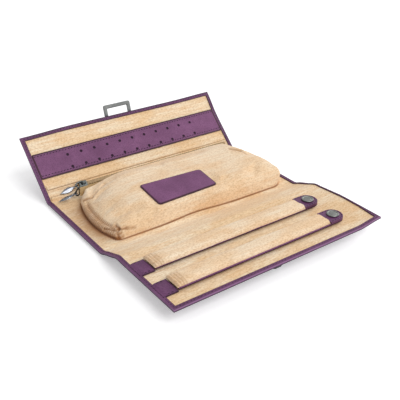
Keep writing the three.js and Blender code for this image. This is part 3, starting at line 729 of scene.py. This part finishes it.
def lining_height(x, y):
    """Small waves of the lining, strongest in the creases and none under the borders"""
    inside = eased((WIDTH / 2 - BINDING - 1 - abs(x)) / 12)
    wave = wave_at(x * 0.018, y * 0.35, 3.1)
    near = max(bell((y - crease["line"]) / 9) for crease in CREASES.values())
    return inside * near * wave * 0.3


def beside_pouch(x, y):
    """Painted warm shade of the lining in the corner where the pouch stands on it, and the painted shadow of
    the pouch's left end
    """
    radius = corner_radius(x, y)
    inner = inner_corner(x, y, pouch_left(y), pouch_right(y), pouch_front(x), POUCH_BACK, radius)
    away = max(0, math.hypot(x - inner[0], y - inner[1]) - radius)
    shade = 0.95 * bell(away / 0.85) * (1 - 0.7 * eased((x - 102) / 8))
    if x < pouch_left(y):
        shade = max(shade, 0.95 * math.exp(-away / 7) * eased((38 - y) / 16) * eased((y + 54) / 30))
    return shade


def lining_sheet(low, high, step, columns):
    rows = max(2, round((high - low) / step))
    bm = sheet(columns, rows, (0, (low + high) / 2, LINING_TOP), (LINING_HALF, (high - low) / 2, 1))
    painted_shade = edge_and_shade_layer(bm)
    for vert in bm.verts:
        # Painted shade beside the pouch
        vert[painted_shade] = beside_pouch(vert.co.x, vert.co.y)
        vert.co.z += lining_height(vert.co.x, vert.co.y)
    thicken(bm, LINING_THICK)
    return bm


def curled_board():
    """The front panel's board, which curls with its right side"""
    low, high = in_millimetres(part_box("board_front"))
    bm = block(low, high)
    round_edges(bm, upright_edges(bm), 3, 4)
    score(bm, CURL_START, high.x, CURL_STEP, across=(1, 0, 0))
    score(bm, low.y, high.y, PANEL_STEP)
    for vert in bm.verts:
        vert.co.z += curl(vert.co.x, vert.co.y)
    made = piece("curled_board", bm, [BOARD], "front_panel")
    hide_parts("board_front")


def suede_lining():
    for name, low, high, body, crease in zones():
        near_pouch = name in ("middle", "front_spine_crease")
        step = 1 if near_pouch or crease else 4
        columns = 240 if near_pouch else 96
        low = max(low, FRONT_END + LINING_MARGIN)
        high = min(high, BACK_END - LINING_MARGIN)
        bm = lining_sheet(low, high, step, columns)
        fold(bm)
        made = piece(f"suede_{name}", bm, [SUEDE], body, crease, sharp=60)
        if not crease:
            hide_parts(f"lining_{name}")


# Earring strip trim

STRIP_LOW = 80.6
STRIP_HIGH = 108.8
STRIP_TOP = PANEL + 0.1
STRIP_HALF = WIDTH / 2 - 5.3
HOLE_PITCH = 16.4
HOLE_COLUMNS = 11
HOLE_ROWS = (85.4, 100.1)
PUNCH_RADIUS = 1.7
PAINT_HALF = 0.8
STRIP_SEAMS = (STRIP_LOW + 2.7, STRIP_HIGH - 2.3)
STRIP_STITCH_WIDTH = 0.95


def punch_mark(bm, x, y):
    """Dark dished disc over a punched hole and its rim: painted shade of the hole"""
    place = Matrix.Translation((x, y, STRIP_TOP - 0.18))
    made = bmesh.ops.create_cone(
        bm, cap_ends=True, segments=14, radius1=0.9, radius2=PUNCH_RADIUS, depth=0.56, matrix=place
    )
    for face in faces_of(made):
        face.material_index = 2
    top = max(faces_of(made), key=lambda face: face.calc_center_median().z)
    bmesh.ops.inset_region(bm, faces=[top], thickness=0.5, depth=-0.06)


def painted_edge(bm, x0, x1, y0, y1):
    """Painted edge of a strip of leather, darkened further as painted shade along it: a slim rounded bar"""
    centre = ((x0 + x1) / 2, (y0 + y1) / 2, STRIP_TOP - 0.55)
    made = bmesh.ops.create_cube(bm, size=1, matrix=stretch(centre, (x1 - x0, y1 - y0, 1.3)))
    edges = {edge for vert in made["verts"] for edge in vert.link_edges}
    round_edges(bm, list(edges), 0.2, 2)


def strip_trim():
    bm = bmesh.new()
    for y in (STRIP_LOW, STRIP_HIGH):
        painted_edge(bm, -STRIP_HALF, STRIP_HALF, y - PAINT_HALF, y + PAINT_HALF)
    for x in (-STRIP_HALF, STRIP_HALF):
        painted_edge(bm, x - PAINT_HALF, x + PAINT_HALF, STRIP_LOW, STRIP_HIGH)
    for row in HOLE_ROWS:
        for i in range(HOLE_COLUMNS):
            punch_mark(bm, (i - (HOLE_COLUMNS - 1) / 2) * HOLE_PITCH, row)
    for y in STRIP_SEAMS:
        ends = (-STRIP_HALF, y, STRIP_TOP), (STRIP_HALF, y, STRIP_TOP)
        stitch_row(bm, *ends, material=1, width=STRIP_STITCH_WIDTH)
    fold(bm)
    piece("strip_trim", bm, [EDGE_PAINT_AND_SHADE, THREAD, HOLE_SHADE], "back_flap")


# Suede lips of the two zips

POCKET_ZIP = 62.5
LIP_THICK = 0.45
# Sections of the two lips: offset from the zip and height over the panel
LIP_UPPER = (
    (2.4, -0.52), (4.15, -0.45), (4.4, -0.75), (4.7, -0.1), (5.6, 0.25), (7.2, 0.1), (9, -0.6), (10.5, -1.1),
)
LIP_LOWER = ((-4.2, -0.6), (-4.6, 0), (-5.4, 0.15), (-6.4, -0.2), (-7.3, -1))


def along_profile(profile, share):
    """Place on a polyline of offsets and heights, smoothly between its points"""
    spot = share * (len(profile) - 1)
    index = min(int(spot), len(profile) - 2)
    part = spot - index
    low, high = profile[index], profile[index + 1]
    return low[0] + (high[0] - low[0]) * part, low[1] + (high[1] - low[1]) * part


def pocket_lips():
    """Folded suede edges on both sides of the pocket zip, with painted shade along the gap at the zip"""
    for name, profile in (("upper", LIP_UPPER), ("lower", LIP_LOWER)):
        bm = sheet(110, 3 * (len(profile) - 1))
        painted_shade = edge_and_shade_layer(bm)
        for vert in bm.verts:
            share = (vert.co.y + 1) / 2
            offset, height = along_profile(profile, share)
            x = vert.co.x * (WIDTH / 2 - BINDING - 1.5)
            wander = 0.25 * wave_at(x / 20, share, len(profile))
            # Painted shade along the lip edge at the zip
            vert[painted_shade] = 0.75 * bell((abs(offset) - 4.35) / 0.35)
            drawn = 0.45 * eased(x / WIDTH + 0.5) * eased(offset - 3.5)
            vert.co = Vector((x, POCKET_ZIP + offset - drawn + wander * abs(share - 0.1), PANEL + height))
        bmesh.ops.recalc_face_normals(bm, faces=bm.faces)
        thicken(bm, LIP_THICK)
        fold(bm)
        piece(f"pocket_lip_{name}", bm, [SUEDE], "back_spine", sharp=70)


# Soft pieces

CLOTH_FRAMES = 20
CLOTH_PRESSURE = 4
CLOTH_SLACK = 0.04


def subdivided(bm, levels):
    """Replaces the work by its smooth subdivision"""
    made = placed("subdivision", mesh_of("subdivision", bm))
    modifier = made.modifiers.new("smooth", "SUBSURF")
    modifier.levels = levels
    modifier.render_levels = levels
    finer = made.evaluated_get(bpy.context.evaluated_depsgraph_get()).data
    bm.clear()
    bm.from_mesh(finer)
    bpy.data.objects.remove(made)


def stuffed(bm, freedom, swell):
    """Swells cloth out from its sewn points and caps how far any point may travel"""
    rest = [vert.co.copy() for vert in bm.verts]
    bmesh.ops.scale(bm, vec=(0.001, 0.001, 0.001), verts=bm.verts)
    made = placed("stuffing", mesh_of("stuffing", bm))
    sewn = made.vertex_groups.new(name="sewn")
    sewn.add([i for i, point in enumerate(rest) if freedom(point) < 0.05], 1, "REPLACE")
    settings = made.modifiers.new("cloth", "CLOTH").settings
    settings.use_pressure = True
    settings.uniform_pressure_force = CLOTH_PRESSURE
    settings.effector_weights.gravity = 0
    settings.vertex_group_mass = "sewn"
    settings.shrink_min = -CLOTH_SLACK
    for number in range(1, CLOTH_FRAMES + 1):
        bpy.context.scene.frame_set(number)
    swollen = made.evaluated_get(bpy.context.evaluated_depsgraph_get()).data
    for vert, start, end in zip(bm.verts, rest, swollen.vertices):
        travel = end.co * 1000 - start
        vert.co = start + travel * freedom(start) * min(1, swell / max(travel.length, 0.001))
    bpy.context.scene.frame_set(1)
    bpy.data.objects.remove(made)


# Layer named fold: painted shade on suede and pads, and dark edges with painted shade on leather
def edge_and_shade_layer(bm):
    return bm.verts.layers.float.get("fold") or bm.verts.layers.float.new("fold")


def press_crease(bm, surface, start, end, depth, width, crease_shade):
    """Presses a soft crease along a line on the surface, with a low swell on both sides, and paints shade
    along it
    """
    painted_shade = edge_and_shade_layer(bm)
    path = [surface.find_nearest(Vector(start).lerp(Vector(end), i / 12))[0] for i in range(13)]
    bm.normal_update()
    for vert in bm.verts:
        away = min((vert.co - spot).length_squared for spot in path) ** 0.5 / width
        if away < 4:
            sink = math.exp(-away * away) - 0.35 * bell(away - 2)
            vert.co -= vert.normal * depth * sink
            vert[painted_shade] = max(vert[painted_shade], crease_shade * math.exp(-away * away))


# Zip pouch

POUCH_FLOOR = PANEL - 1.1
POUCH_FRONT = -50.4
POUCH_BACK = 40
POUCH_LEFT = -107.8
POUCH_RIGHT = 114.5
POUCH_FILL = 19.8
POUCH_SWELL = 3.2
POUCH_CELL = 3
OVERHANG = 2.4
ROLL_HEIGHT = 7.6
ROLL_REACH = 3.4
VALLEY_IN = 5.2
END_REACH = 8
FRONT_REACH = 14
BACK_REACH = 4
GATHER_PITCH = 2.3
GATHER_DEPTH = 0.3


def pouch_left(y):
    """The left end bows out between its corners"""
    bow = 0.0043 if y > -16 else 0.0062
    return POUCH_LEFT + bow * (y + 16) ** 2


def pouch_right(y):
    return POUCH_RIGHT - 0.0034 * (y + 24) ** 2


def pouch_front(x):
    """The sewn front edge runs a little inwards beside the patch"""
    return POUCH_FRONT - 0.011 * x + 3.6 * bell((x + 8) / 28)


def side_profile(distance, reach, power):
    """Height share of a rounded side at a distance from its foot"""
    rest = min(1, max(0, 1 - distance / reach))
    return (1 - rest ** power) ** (1 / power)


def spaced(share, length, low_reach, high_reach):
    """Distance along a side, with the rounded ends divided more closely"""
    curve = 0.14
    if share < curve:
        return low_reach * (1 - math.cos(share / curve * math.pi / 2))
    if share > 1 - curve:
        return length - high_reach * (1 - math.cos((1 - share) / curve * math.pi / 2))
    return low_reach + (length - low_reach - high_reach) * (share - curve) / (1 - 2 * curve)


def pouch_fill(x, y):
    """Height of the filled pouch away from its sides: slack at the left end, full at the right"""
    slack = bell((x - pouch_left(y)) / 32)
    slack *= 1 - 0.55 * eased((-30 - y) / 14)
    soft = wave_at(x / 42, y / 26, 0.4)
    hump = bell((x + 44) / 16) * eased((y - 8) / 25)
    lower_right = 1.2 * bell((pouch_right(y) - x) / 22)
    return POUCH_FILL - 6 * slack + hump - lower_right + 0.9 * soft


def left_rise(inward, y, full):
    """Height over the left end: a rolled edge, a valley behind it, then the slope up to the fill"""
    roll = ROLL_HEIGHT * side_profile(inward, ROLL_REACH, 2.2)
    valley = 1.2 * bell((inward - VALLEY_IN) / 1.2)
    slope = 1 - (1 - min(1, max(0, (inward - 3.5) / 20))) ** 2.4
    rolled = roll - valley + (full - ROLL_HEIGHT) * slope
    plain = full * side_profile(inward, 9, 2.2)
    return rolled + (plain - rolled) * eased((y - 14) / 12)


def corner_radius(x, y, height=0):
    """Rounding of the corners in plan: the right front one is fuller above its foot"""
    if y > 0:
        return 9
    return 4 if x < 0 else 15 - 8 * eased((height - 4) / 9)


def pouch_point(u, v):
    """Place on the pouch for a point of a square from 0 to 1"""
    flat_y = POUCH_FRONT + spaced(v, POUCH_BACK - POUCH_FRONT, FRONT_REACH, BACK_REACH)
    left, right = pouch_left(flat_y), pouch_right(flat_y)
    x = left + spaced(u, right - left, END_REACH, END_REACH)
    front = pouch_front(x)
    y = front + (flat_y - POUCH_FRONT) * (POUCH_BACK - front) / (POUCH_BACK - POUCH_FRONT)
    height = left_rise(x - left, y, pouch_fill(x, y)) * side_profile(right - x, END_REACH, 2.6)
    height *= side_profile(y - front, FRONT_REACH, 2.3) * side_profile(POUCH_BACK - y, BACK_REACH, 4)
    radius = corner_radius(x, y, height)
    inner_x, inner_y = inner_corner(x, y, left, right, front, POUCH_BACK, radius)
    out = step_out(x, y, inner_x, inner_y)
    tucked = max(0, 1 - height / 2.5)
    out.x -= tucked * math.copysign(1.2, x) * eased((abs(x) - 90) / 12)
    out.y += tucked * 0.7 * eased((-40 - y) / 8)
    out.y += OVERHANG * eased((height - 13) / 6) * eased((y - 26) / 13)
    return Vector((inner_x + out.x, inner_y + out.y, POUCH_FLOOR + height))


def pouch_shell():
    """Slack bag standing on its sewn base"""
    rows = round((POUCH_BACK - POUCH_FRONT + 30) / POUCH_CELL)
    columns = round((POUCH_RIGHT - POUCH_LEFT + 30) / POUCH_CELL)
    bm = sheet(columns, rows)
    for vert in bm.verts:
        vert.co = pouch_point((vert.co.x + 1) / 2, (vert.co.y + 1) / 2)
    return bm


def pouch_freedom(point):
    """How far the cloth may swell: nothing at the walls, all in the middle"""
    aside = min(point.x - pouch_left(point.y) - 4, pouch_right(point.y) - point.x)
    ahead = min(point.y - pouch_front(point.x), POUCH_BACK - point.y)
    return eased(min(aside, ahead) / 16)


def sewn_edges(bm):
    """Gathers of the rolled left edge, and painted warm shade in its valley, under it and along the foot all
    round
    """
    painted_shade = edge_and_shade_layer(bm)
    bm.normal_update()
    for vert in bm.verts:
        x, y, z = vert.co
        inward = x - pouch_left(y)
        lift = z - POUCH_FLOOR
        # Painted shade along the foot, and below, painted shade in the roll's valley and under it
        shade = 0.95 * bell(lift / 0.7) * (1 - 0.7 * eased((x - 102) / 8))
        if inward < 12 and y < 26:
            rolled = eased(inward + 1) * (1 - eased((inward - 6) / 3))
            rolled = rolled * eased(lift / 3) * (1 - eased((y - 12) / 10))
            gather = math.sin(y * 2 * math.pi / GATHER_PITCH + 2 * wave_at(y / 6, 0, 0))
            vert.co += vert.normal * GATHER_DEPTH * rolled * gather
            valley = bell((inward - VALLEY_IN) / 1.1)
            under = 0.95 * (1 - eased((lift - 1) / 6.5)) * (1 - eased((inward - 3) / 5))
            shade = max(shade, rolled * max(valley * (0.65 - 0.15 * gather), 0.5 - 0.3 * gather), under)
        vert[painted_shade] = shade


# Creases of the pouch: from, to, depth, width and shade
POUCH_CREASES = (
    ((-101.6, -50, 5), (-99, -45.5, 15), 1.3, 1, 1),
    ((-99, -45.5, 15), (-90, -48.2, 14), 1.2, 1.4, 0.85),
    ((-90, -48.2, 14), (-82, -48.8, 12), 0.7, 1.6, 0.5),
    ((-99, -45.5, 15), (-105, -31, 9), 1.4, 1.2, 0.95),
    ((-99, -45.5, 15), (-98.6, -38.4, 17), 1.8, 1.7, 0.8),
    ((-100, 24, 13), (-92, 18.5, 18), 1.6, 1.6, 0.7),
    ((-92, 18.5, 18), (-70, 30, 21.5), 0.9, 1.5, 0.35),
    ((87.5, 16.5, 26), (93.5, 7, 26), 1.4, 2.3, 0.6),
    ((93.5, 7, 26), (96, -4, 26), 0.9, 1.8, 0.35),
    ((107, -48, 5), (110, -42, 20), 0.5, 1.1, 0.55),
)


def patch_bed(bm):
    """Levels the pouch under its stiff patch to a plane fitted to the cloth there"""
    bm.normal_update()
    half_x, half_y = PATCH_SIZE[0] / 2, PATCH_SIZE[1] / 2
    chosen = []
    for vert in bm.verts:
        aside = half_x + PATCH_MARGIN - abs(vert.co.x - PATCH_CENTRE[0])
        ahead = half_y + PATCH_MARGIN - abs(vert.co.y - PATCH_CENTRE[1])
        if min(aside, ahead) > 0 and vert.normal.z > 0.4:
            chosen.append((vert, eased(min(aside, ahead) / PATCH_MARGIN)))
    places = np.array([(vert.co.x, vert.co.y, 1) for vert, share in chosen])
    heights = np.array([vert.co.z for vert, share in chosen])
    plane = np.linalg.lstsq(places, heights, rcond=None)[0]
    for (vert, share), level in zip(chosen, places @ plane):
        vert.co.z += (level - vert.co.z) * share


def stuffed_pouch():
    bm = pouch_shell()
    stuffed(bm, pouch_freedom, POUCH_SWELL)
    subdivided(bm, 2)
    close_holes(bm)
    sewn_edges(bm)
    patch_bed(bm)
    surface = BVHTree.FromBMesh(bm)
    for crease in POUCH_CREASES:
        press_crease(bm, surface, *crease)
    made = piece("suede_pouch", bm, [POUCH_SUEDE], "middle_panel", sharp=80)
    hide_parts("pouch_body")
    flatten_with_flap(made)
    return surface


def flatten_with_flap(made):
    """Gives the piece a mesh of its own"""
    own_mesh(made)


# Leather patch

PATCH_CENTRE = (-11, -22.6)
PATCH_SIZE = (75, 38)
PATCH_TAPER = 0.16
PATCH_CORNER = 3.5
PATCH_THICK = 1.4
PATCH_RIM = 1.3
PATCH_BEDDED = 0.5
PATCH_MARGIN = 12
ABOVE_POUCH = 60


def rim_spaced(value, half):
    """Place across the patch for a grid value from -1 to 1, with a slim row of cells at each rim"""
    return math.copysign(half, value) if abs(value) > 0.999 else value / 0.95 * (half - PATCH_RIM)


def leather_patch(surface):
    """Patch with rounded corners and painted edges, lying on the pouch"""
    bm = sheet(40, 40)
    half_x, half_y = PATCH_SIZE[0] / 2, PATCH_SIZE[1] / 2
    rim = set()
    for vert in bm.verts:
        x, y = rim_spaced(vert.co.x, half_x), rim_spaced(vert.co.y, half_y)
        if vert.is_boundary:
            rim.add(vert)
        inner_x, inner_y = inner_corner(x, y, -half_x, half_x, -half_y, half_y, PATCH_CORNER)
        out = step_out(x, y, inner_x, inner_y)
        taper = 1 - PATCH_TAPER * (x + half_x) / PATCH_SIZE[0]
        across = PATCH_CENTRE[1] + (inner_y + out.y) * taper
        place = Vector((PATCH_CENTRE[0] + inner_x + out.x, across, ABOVE_POUCH))
        hit = surface.ray_cast(place, Vector((0, 0, -1)))[0]
        vert.co = Vector((place.x, place.y, hit.z + PATCH_THICK))
    upright = {"use_axis_x": False, "use_axis_y": False, "use_axis_z": True}
    for _ in range(12):
        bmesh.ops.smooth_vert(bm, verts=bm.verts, factor=0.5, **upright)
    for vert in rim:
        vert.co.z -= PATCH_BEDDED
    inside = {face for face in bm.faces if not rim.intersection(face.verts)}
    thicken(bm, PATCH_THICK)
    for face in bm.faces:
        face.material_index = 0 if face in inside else 1
    made = piece("leather_patch", bm, [LEATHER, EDGE_PAINT_AND_SHADE], "middle_panel", sharp=60)
    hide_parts("pouch_patch")
    flatten_with_flap(made)


# Ring straps

PAD_LEFT = -107.3
PAD_RIGHT = 76
PAD_FLOOR = 18.5
PAD_HEIGHT = 3.7
STRAP_LINES = {1: -113.807, 2: -149.007}
PAD_REACHES = {1: (-9.5, 10.4), 2: (-8.4, 10.4)}
PAD_DROOP = 0.5
LIFT_JOINT = -107.5
PAD_BEND = 9
PAD_GATHER = 2.7
TAB_TOP = 21.15
TAB_START = 74.5
TAB_ROUND = 85.5
TAB_SEAM = 8.7
ANCHOR_TOP = 17.15
ANCHOR_LEFT = -122.2
ANCHOR_SINK = 0.95
ANCHOR_THICK = 1.3
ANCHOR_SEAM = 8.6


def pad_height(x, across, seed):
    """Crowned pad with shallow waves, and cross ridges where it is gathered at the left end"""
    to_left, to_right = 1 - eased((x - PAD_LEFT) / 16), 1 - eased((PAD_RIGHT - x) / 20)
    crown = max(0, 1 - abs(across) ** (3 + 6 * max(to_left, to_right))) ** (1 / 2.2)
    ends = side_profile(x - PAD_LEFT, 1.4, 2.2) * side_profile(PAD_RIGHT - x, 1.6, 2.2)
    ends *= 1 - 0.45 * to_left - 0.3 * to_right
    wave = 1 + 0.1 * wave_at(x / 16, across * 1.4, seed)
    return PAD_HEIGHT * wave * crown * ends


def bend_with_strap(made):
    """Bakes the piece's placement into its mesh"""
    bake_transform(made)


def strap_backings():
    """Leather backings with a rounded end and dark sides: edge paint, with painted shade under the pad's rim
    """
    for number in STRAP_LINES:
        low, high = in_millimetres(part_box(f"strap_{number}_backing"))
        bm = block(low, high)
        corners = [edge for edge in upright_edges(bm) if edge.verts[0].co.x > high.x - 0.01]
        round_edges(bm, corners, (high.y - low.y) / 2 - 0.05, 12)
        score(bm, LIFT_JOINT, LIFT_JOINT + PAD_BEND, 1, across=(1, 0, 0))
        bm.normal_update()
        for face in bm.faces:
            # Dark sides: edge paint with painted shade under the pad
            face.material_index = 0 if abs(face.normal.z) > 0.5 else 1
        made = piece(f"leather_backing_{number}", bm, [LEATHER, EDGE_PAINT_AND_SHADE], ride=False)
        bend_with_strap(made)
        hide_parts(f"strap_{number}_backing")


def pad_top(number):
    """Crowned top of a pad with its gathers, and painted shade in their hollows"""
    bm = sheet(190, 22)
    painted_shade = edge_and_shade_layer(bm)
    low, high = PAD_REACHES[number]
    for vert in bm.verts:
        across = math.sin(vert.co.y * math.pi / 2)
        x = PAD_LEFT + (PAD_RIGHT - PAD_LEFT) * (vert.co.x + 1) / 2
        inward = x - PAD_LEFT
        gathered = 1 - eased((inward - 8) / 5)
        ridge = math.cos(inward * 2 * math.pi / PAD_GATHER) * gathered
        y = STRAP_LINES[number] + (low + high) / 2 + across * (high - low) / 2
        y += 0.5 * wave_at(x / 22, number * 5, 0)
        height = pad_height(x, across, number * 7) + 0.3 * ridge * (1 - across ** 6) * eased(inward / 1.5)
        # Painted shade in the hollows between the gathers
        vert[painted_shade] = gathered * (0.2 - 0.2 * math.cos(inward * 2 * math.pi / PAD_GATHER))
        droop = PAD_DROOP * eased((abs(across) - 0.85) / 0.15) * eased(inward / 6)
        vert.co = Vector((x, y, PAD_FLOOR + height - droop))
    return bm


def pad_underside(bm):
    """Recessed underside, cut across where the strap bends"""
    close_holes(bm)
    base = max(bm.faces, key=lambda face: len(face.verts))
    inset(bm, base, 2.2, -PAD_DROOP - 0.1)
    part = [base, *base.edges, *base.verts]
    for i in range(PAD_BEND + 3):
        place = (PAD_LEFT + 2.5 + i, 0, 0)
        part = bmesh.ops.bisect_plane(bm, geom=part, plane_co=place, plane_no=(1, 0, 0))["geom"]


def strap_pads():
    """Soft pads with gathered left ends"""
    for number in STRAP_LINES:
        bm = pad_top(number)
        pad_underside(bm)
        made = piece(f"suede_pad_{number}", bm, [POUCH_SUEDE], ride=False, sharp=80)
        bend_with_strap(made)
        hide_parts(f"strap_{number}_pad")


def strap_anchors():
    """Leather tabs that hold the straps, sewn down over the left border"""
    for number in STRAP_LINES:
        low, high = in_millimetres(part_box(f"strap_{number}_anchor"))
        centre = ((ANCHOR_LEFT + high.x) / 2, (low.y + high.y) / 2, ANCHOR_TOP)
        bm = sheet(24, 24, centre, ((high.x - ANCHOR_LEFT) / 2, (high.y - low.y) / 2, 1))
        dark = edge_and_shade_layer(bm)
        for vert in bm.verts:
            x, y, z = vert.co
            aside = min(y - low.y, high.y - y)
            vert[dark] = 0.7 * (1 - eased((min(aside, high.x - x) - 0.3) / 0.7))
            vert.co.z -= ANCHOR_SINK * (1 - eased((x - ANCHOR_LEFT) / 4)) + 0.35 * (1 - eased(aside / 1.2))
        thicken(bm, ANCHOR_THICK)
        made = piece(f"leather_anchor_{number}", bm, [BORDER], "front_panel", sharp=60)
        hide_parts(f"strap_{number}_anchor")


def tab_seam(number, line):
    """Seam along both sides of a D tab and round its end"""
    bm = bmesh.new()
    for y in (line - TAB_SEAM, line + TAB_SEAM):
        stitch_row(bm, (TAB_START, y, TAB_TOP), (TAB_ROUND, y, TAB_TOP), material=0)
    arc = []
    for i in range(9):
        turn = math.radians(-90 + 22.5 * i)
        x, y = TAB_ROUND + TAB_SEAM * math.cos(turn), line + TAB_SEAM * math.sin(turn)
        arc.append(Vector((x, y, TAB_TOP)))
    for start, end in zip(arc, arc[1:]):
        stitch_row(bm, start, end, material=0)
    piece(f"tab_seam_{number}", bm, [THREAD], f"strap_{number}")


def anchor_seam(number, line):
    """Two seams that hold an anchor to the border"""
    bm = bmesh.new()
    for y in (line - ANCHOR_SEAM, line + ANCHOR_SEAM):
        stitch_row(bm, (ANCHOR_LEFT + 3.6, y, ANCHOR_TOP), (LIFT_JOINT - 3.5, y, ANCHOR_TOP), material=0)
    piece(f"anchor_seam_{number}", bm, [THREAD], "front_panel")


def strap_stitches():
    for number, line in STRAP_LINES.items():
        tab_seam(number, line)
        anchor_seam(number, line)


# Room


def white_floor():
    """Floor that keeps the shadow and is white to the camera"""
    bm = sheet(1, 1, (0, 0, FLOOR_Z), (3, 3, 1))
    mesh = mesh_of("floor", bm)
    bm.free()
    floor = placed("floor", mesh)
    looks = {"Base_Color": FLOOR_WHITE, "Roughness": 0.9, "Specular_IOR_Level": 0.1}
    made, tree, shader = blank_material("white floor", Emission_Color=(1, 1, 1, 1), **looks)[:3]
    seen = node(tree, "LightPath").outputs["Is Camera Ray"]
    tree.links.new(math_node(tree, "MULTIPLY", seen, FLOOR_LIFT), shader.inputs["Emission Strength"])
    mesh.materials.append(made)


def white_room():
    """Even light from all round, and plain white where the camera or a mirror looks"""
    world = bpy.data.worlds.new("studio")
    bpy.context.scene.world = world
    world.use_nodes = True
    tree = world.node_tree
    path = node(tree, "LightPath").outputs
    direct = math_node(tree, "MAXIMUM", path["Is Camera Ray"], path["Is Glossy Ray"])
    strength = node(tree, "MapRange", {"Value": direct, "To Min": ROOM_LIGHT, "To Max": 1})
    tree.links.new(strength.outputs[0], tree.nodes["Background"].inputs["Strength"])
    tree.nodes["Background"].inputs["Color"].default_value = (1, 1, 1, 1)


def softboxes():
    """Area lamps that face the wallet"""
    for name, place, size, power in SOFTBOXES:
        lamp = bpy.data.lights.new(name, "AREA")
        lamp.size = size
        lamp.energy = power
        made = placed(name, lamp)
        made.location = place
        made.rotation_euler = (-Vector(place)).to_track_quat("-Z", "Y").to_euler()


def photo_camera():
    """Camera from the place that the photo was taken from"""
    azimuth = CAMERA_AZIMUTH
    level = math.cos(CAMERA_ELEVATION)
    right = Vector((math.cos(azimuth), math.sin(azimuth), 0))
    back = Vector((math.sin(azimuth) * level, -math.cos(azimuth) * level, math.sin(CAMERA_ELEVATION)))
    up = back.cross(right)
    rolled_right = right * math.cos(CAMERA_ROLL) + up * math.sin(CAMERA_ROLL)
    rolled_up = up * math.cos(CAMERA_ROLL) - right * math.sin(CAMERA_ROLL)
    lens = bpy.data.cameras.new("photo camera")
    lens.lens = CAMERA_LENS
    camera = placed("photo camera", lens)
    turn = Matrix((rolled_right, rolled_up, back)).transposed().to_4x4()
    camera.matrix_world = Matrix.Translation(CAMERA_PLACE) @ turn
    bpy.context.scene.camera = camera
    bpy.context.scene.view_settings.view_transform = "Standard"


dress_nodes()
leather_cover()
curled_board()
suede_lining()
strip_trim()
pocket_lips()
leather_patch(stuffed_pouch())
strap_backings()
strap_pads()
strap_anchors()
strap_stitches()
photo_camera()
white_floor()
white_room()
softboxes()
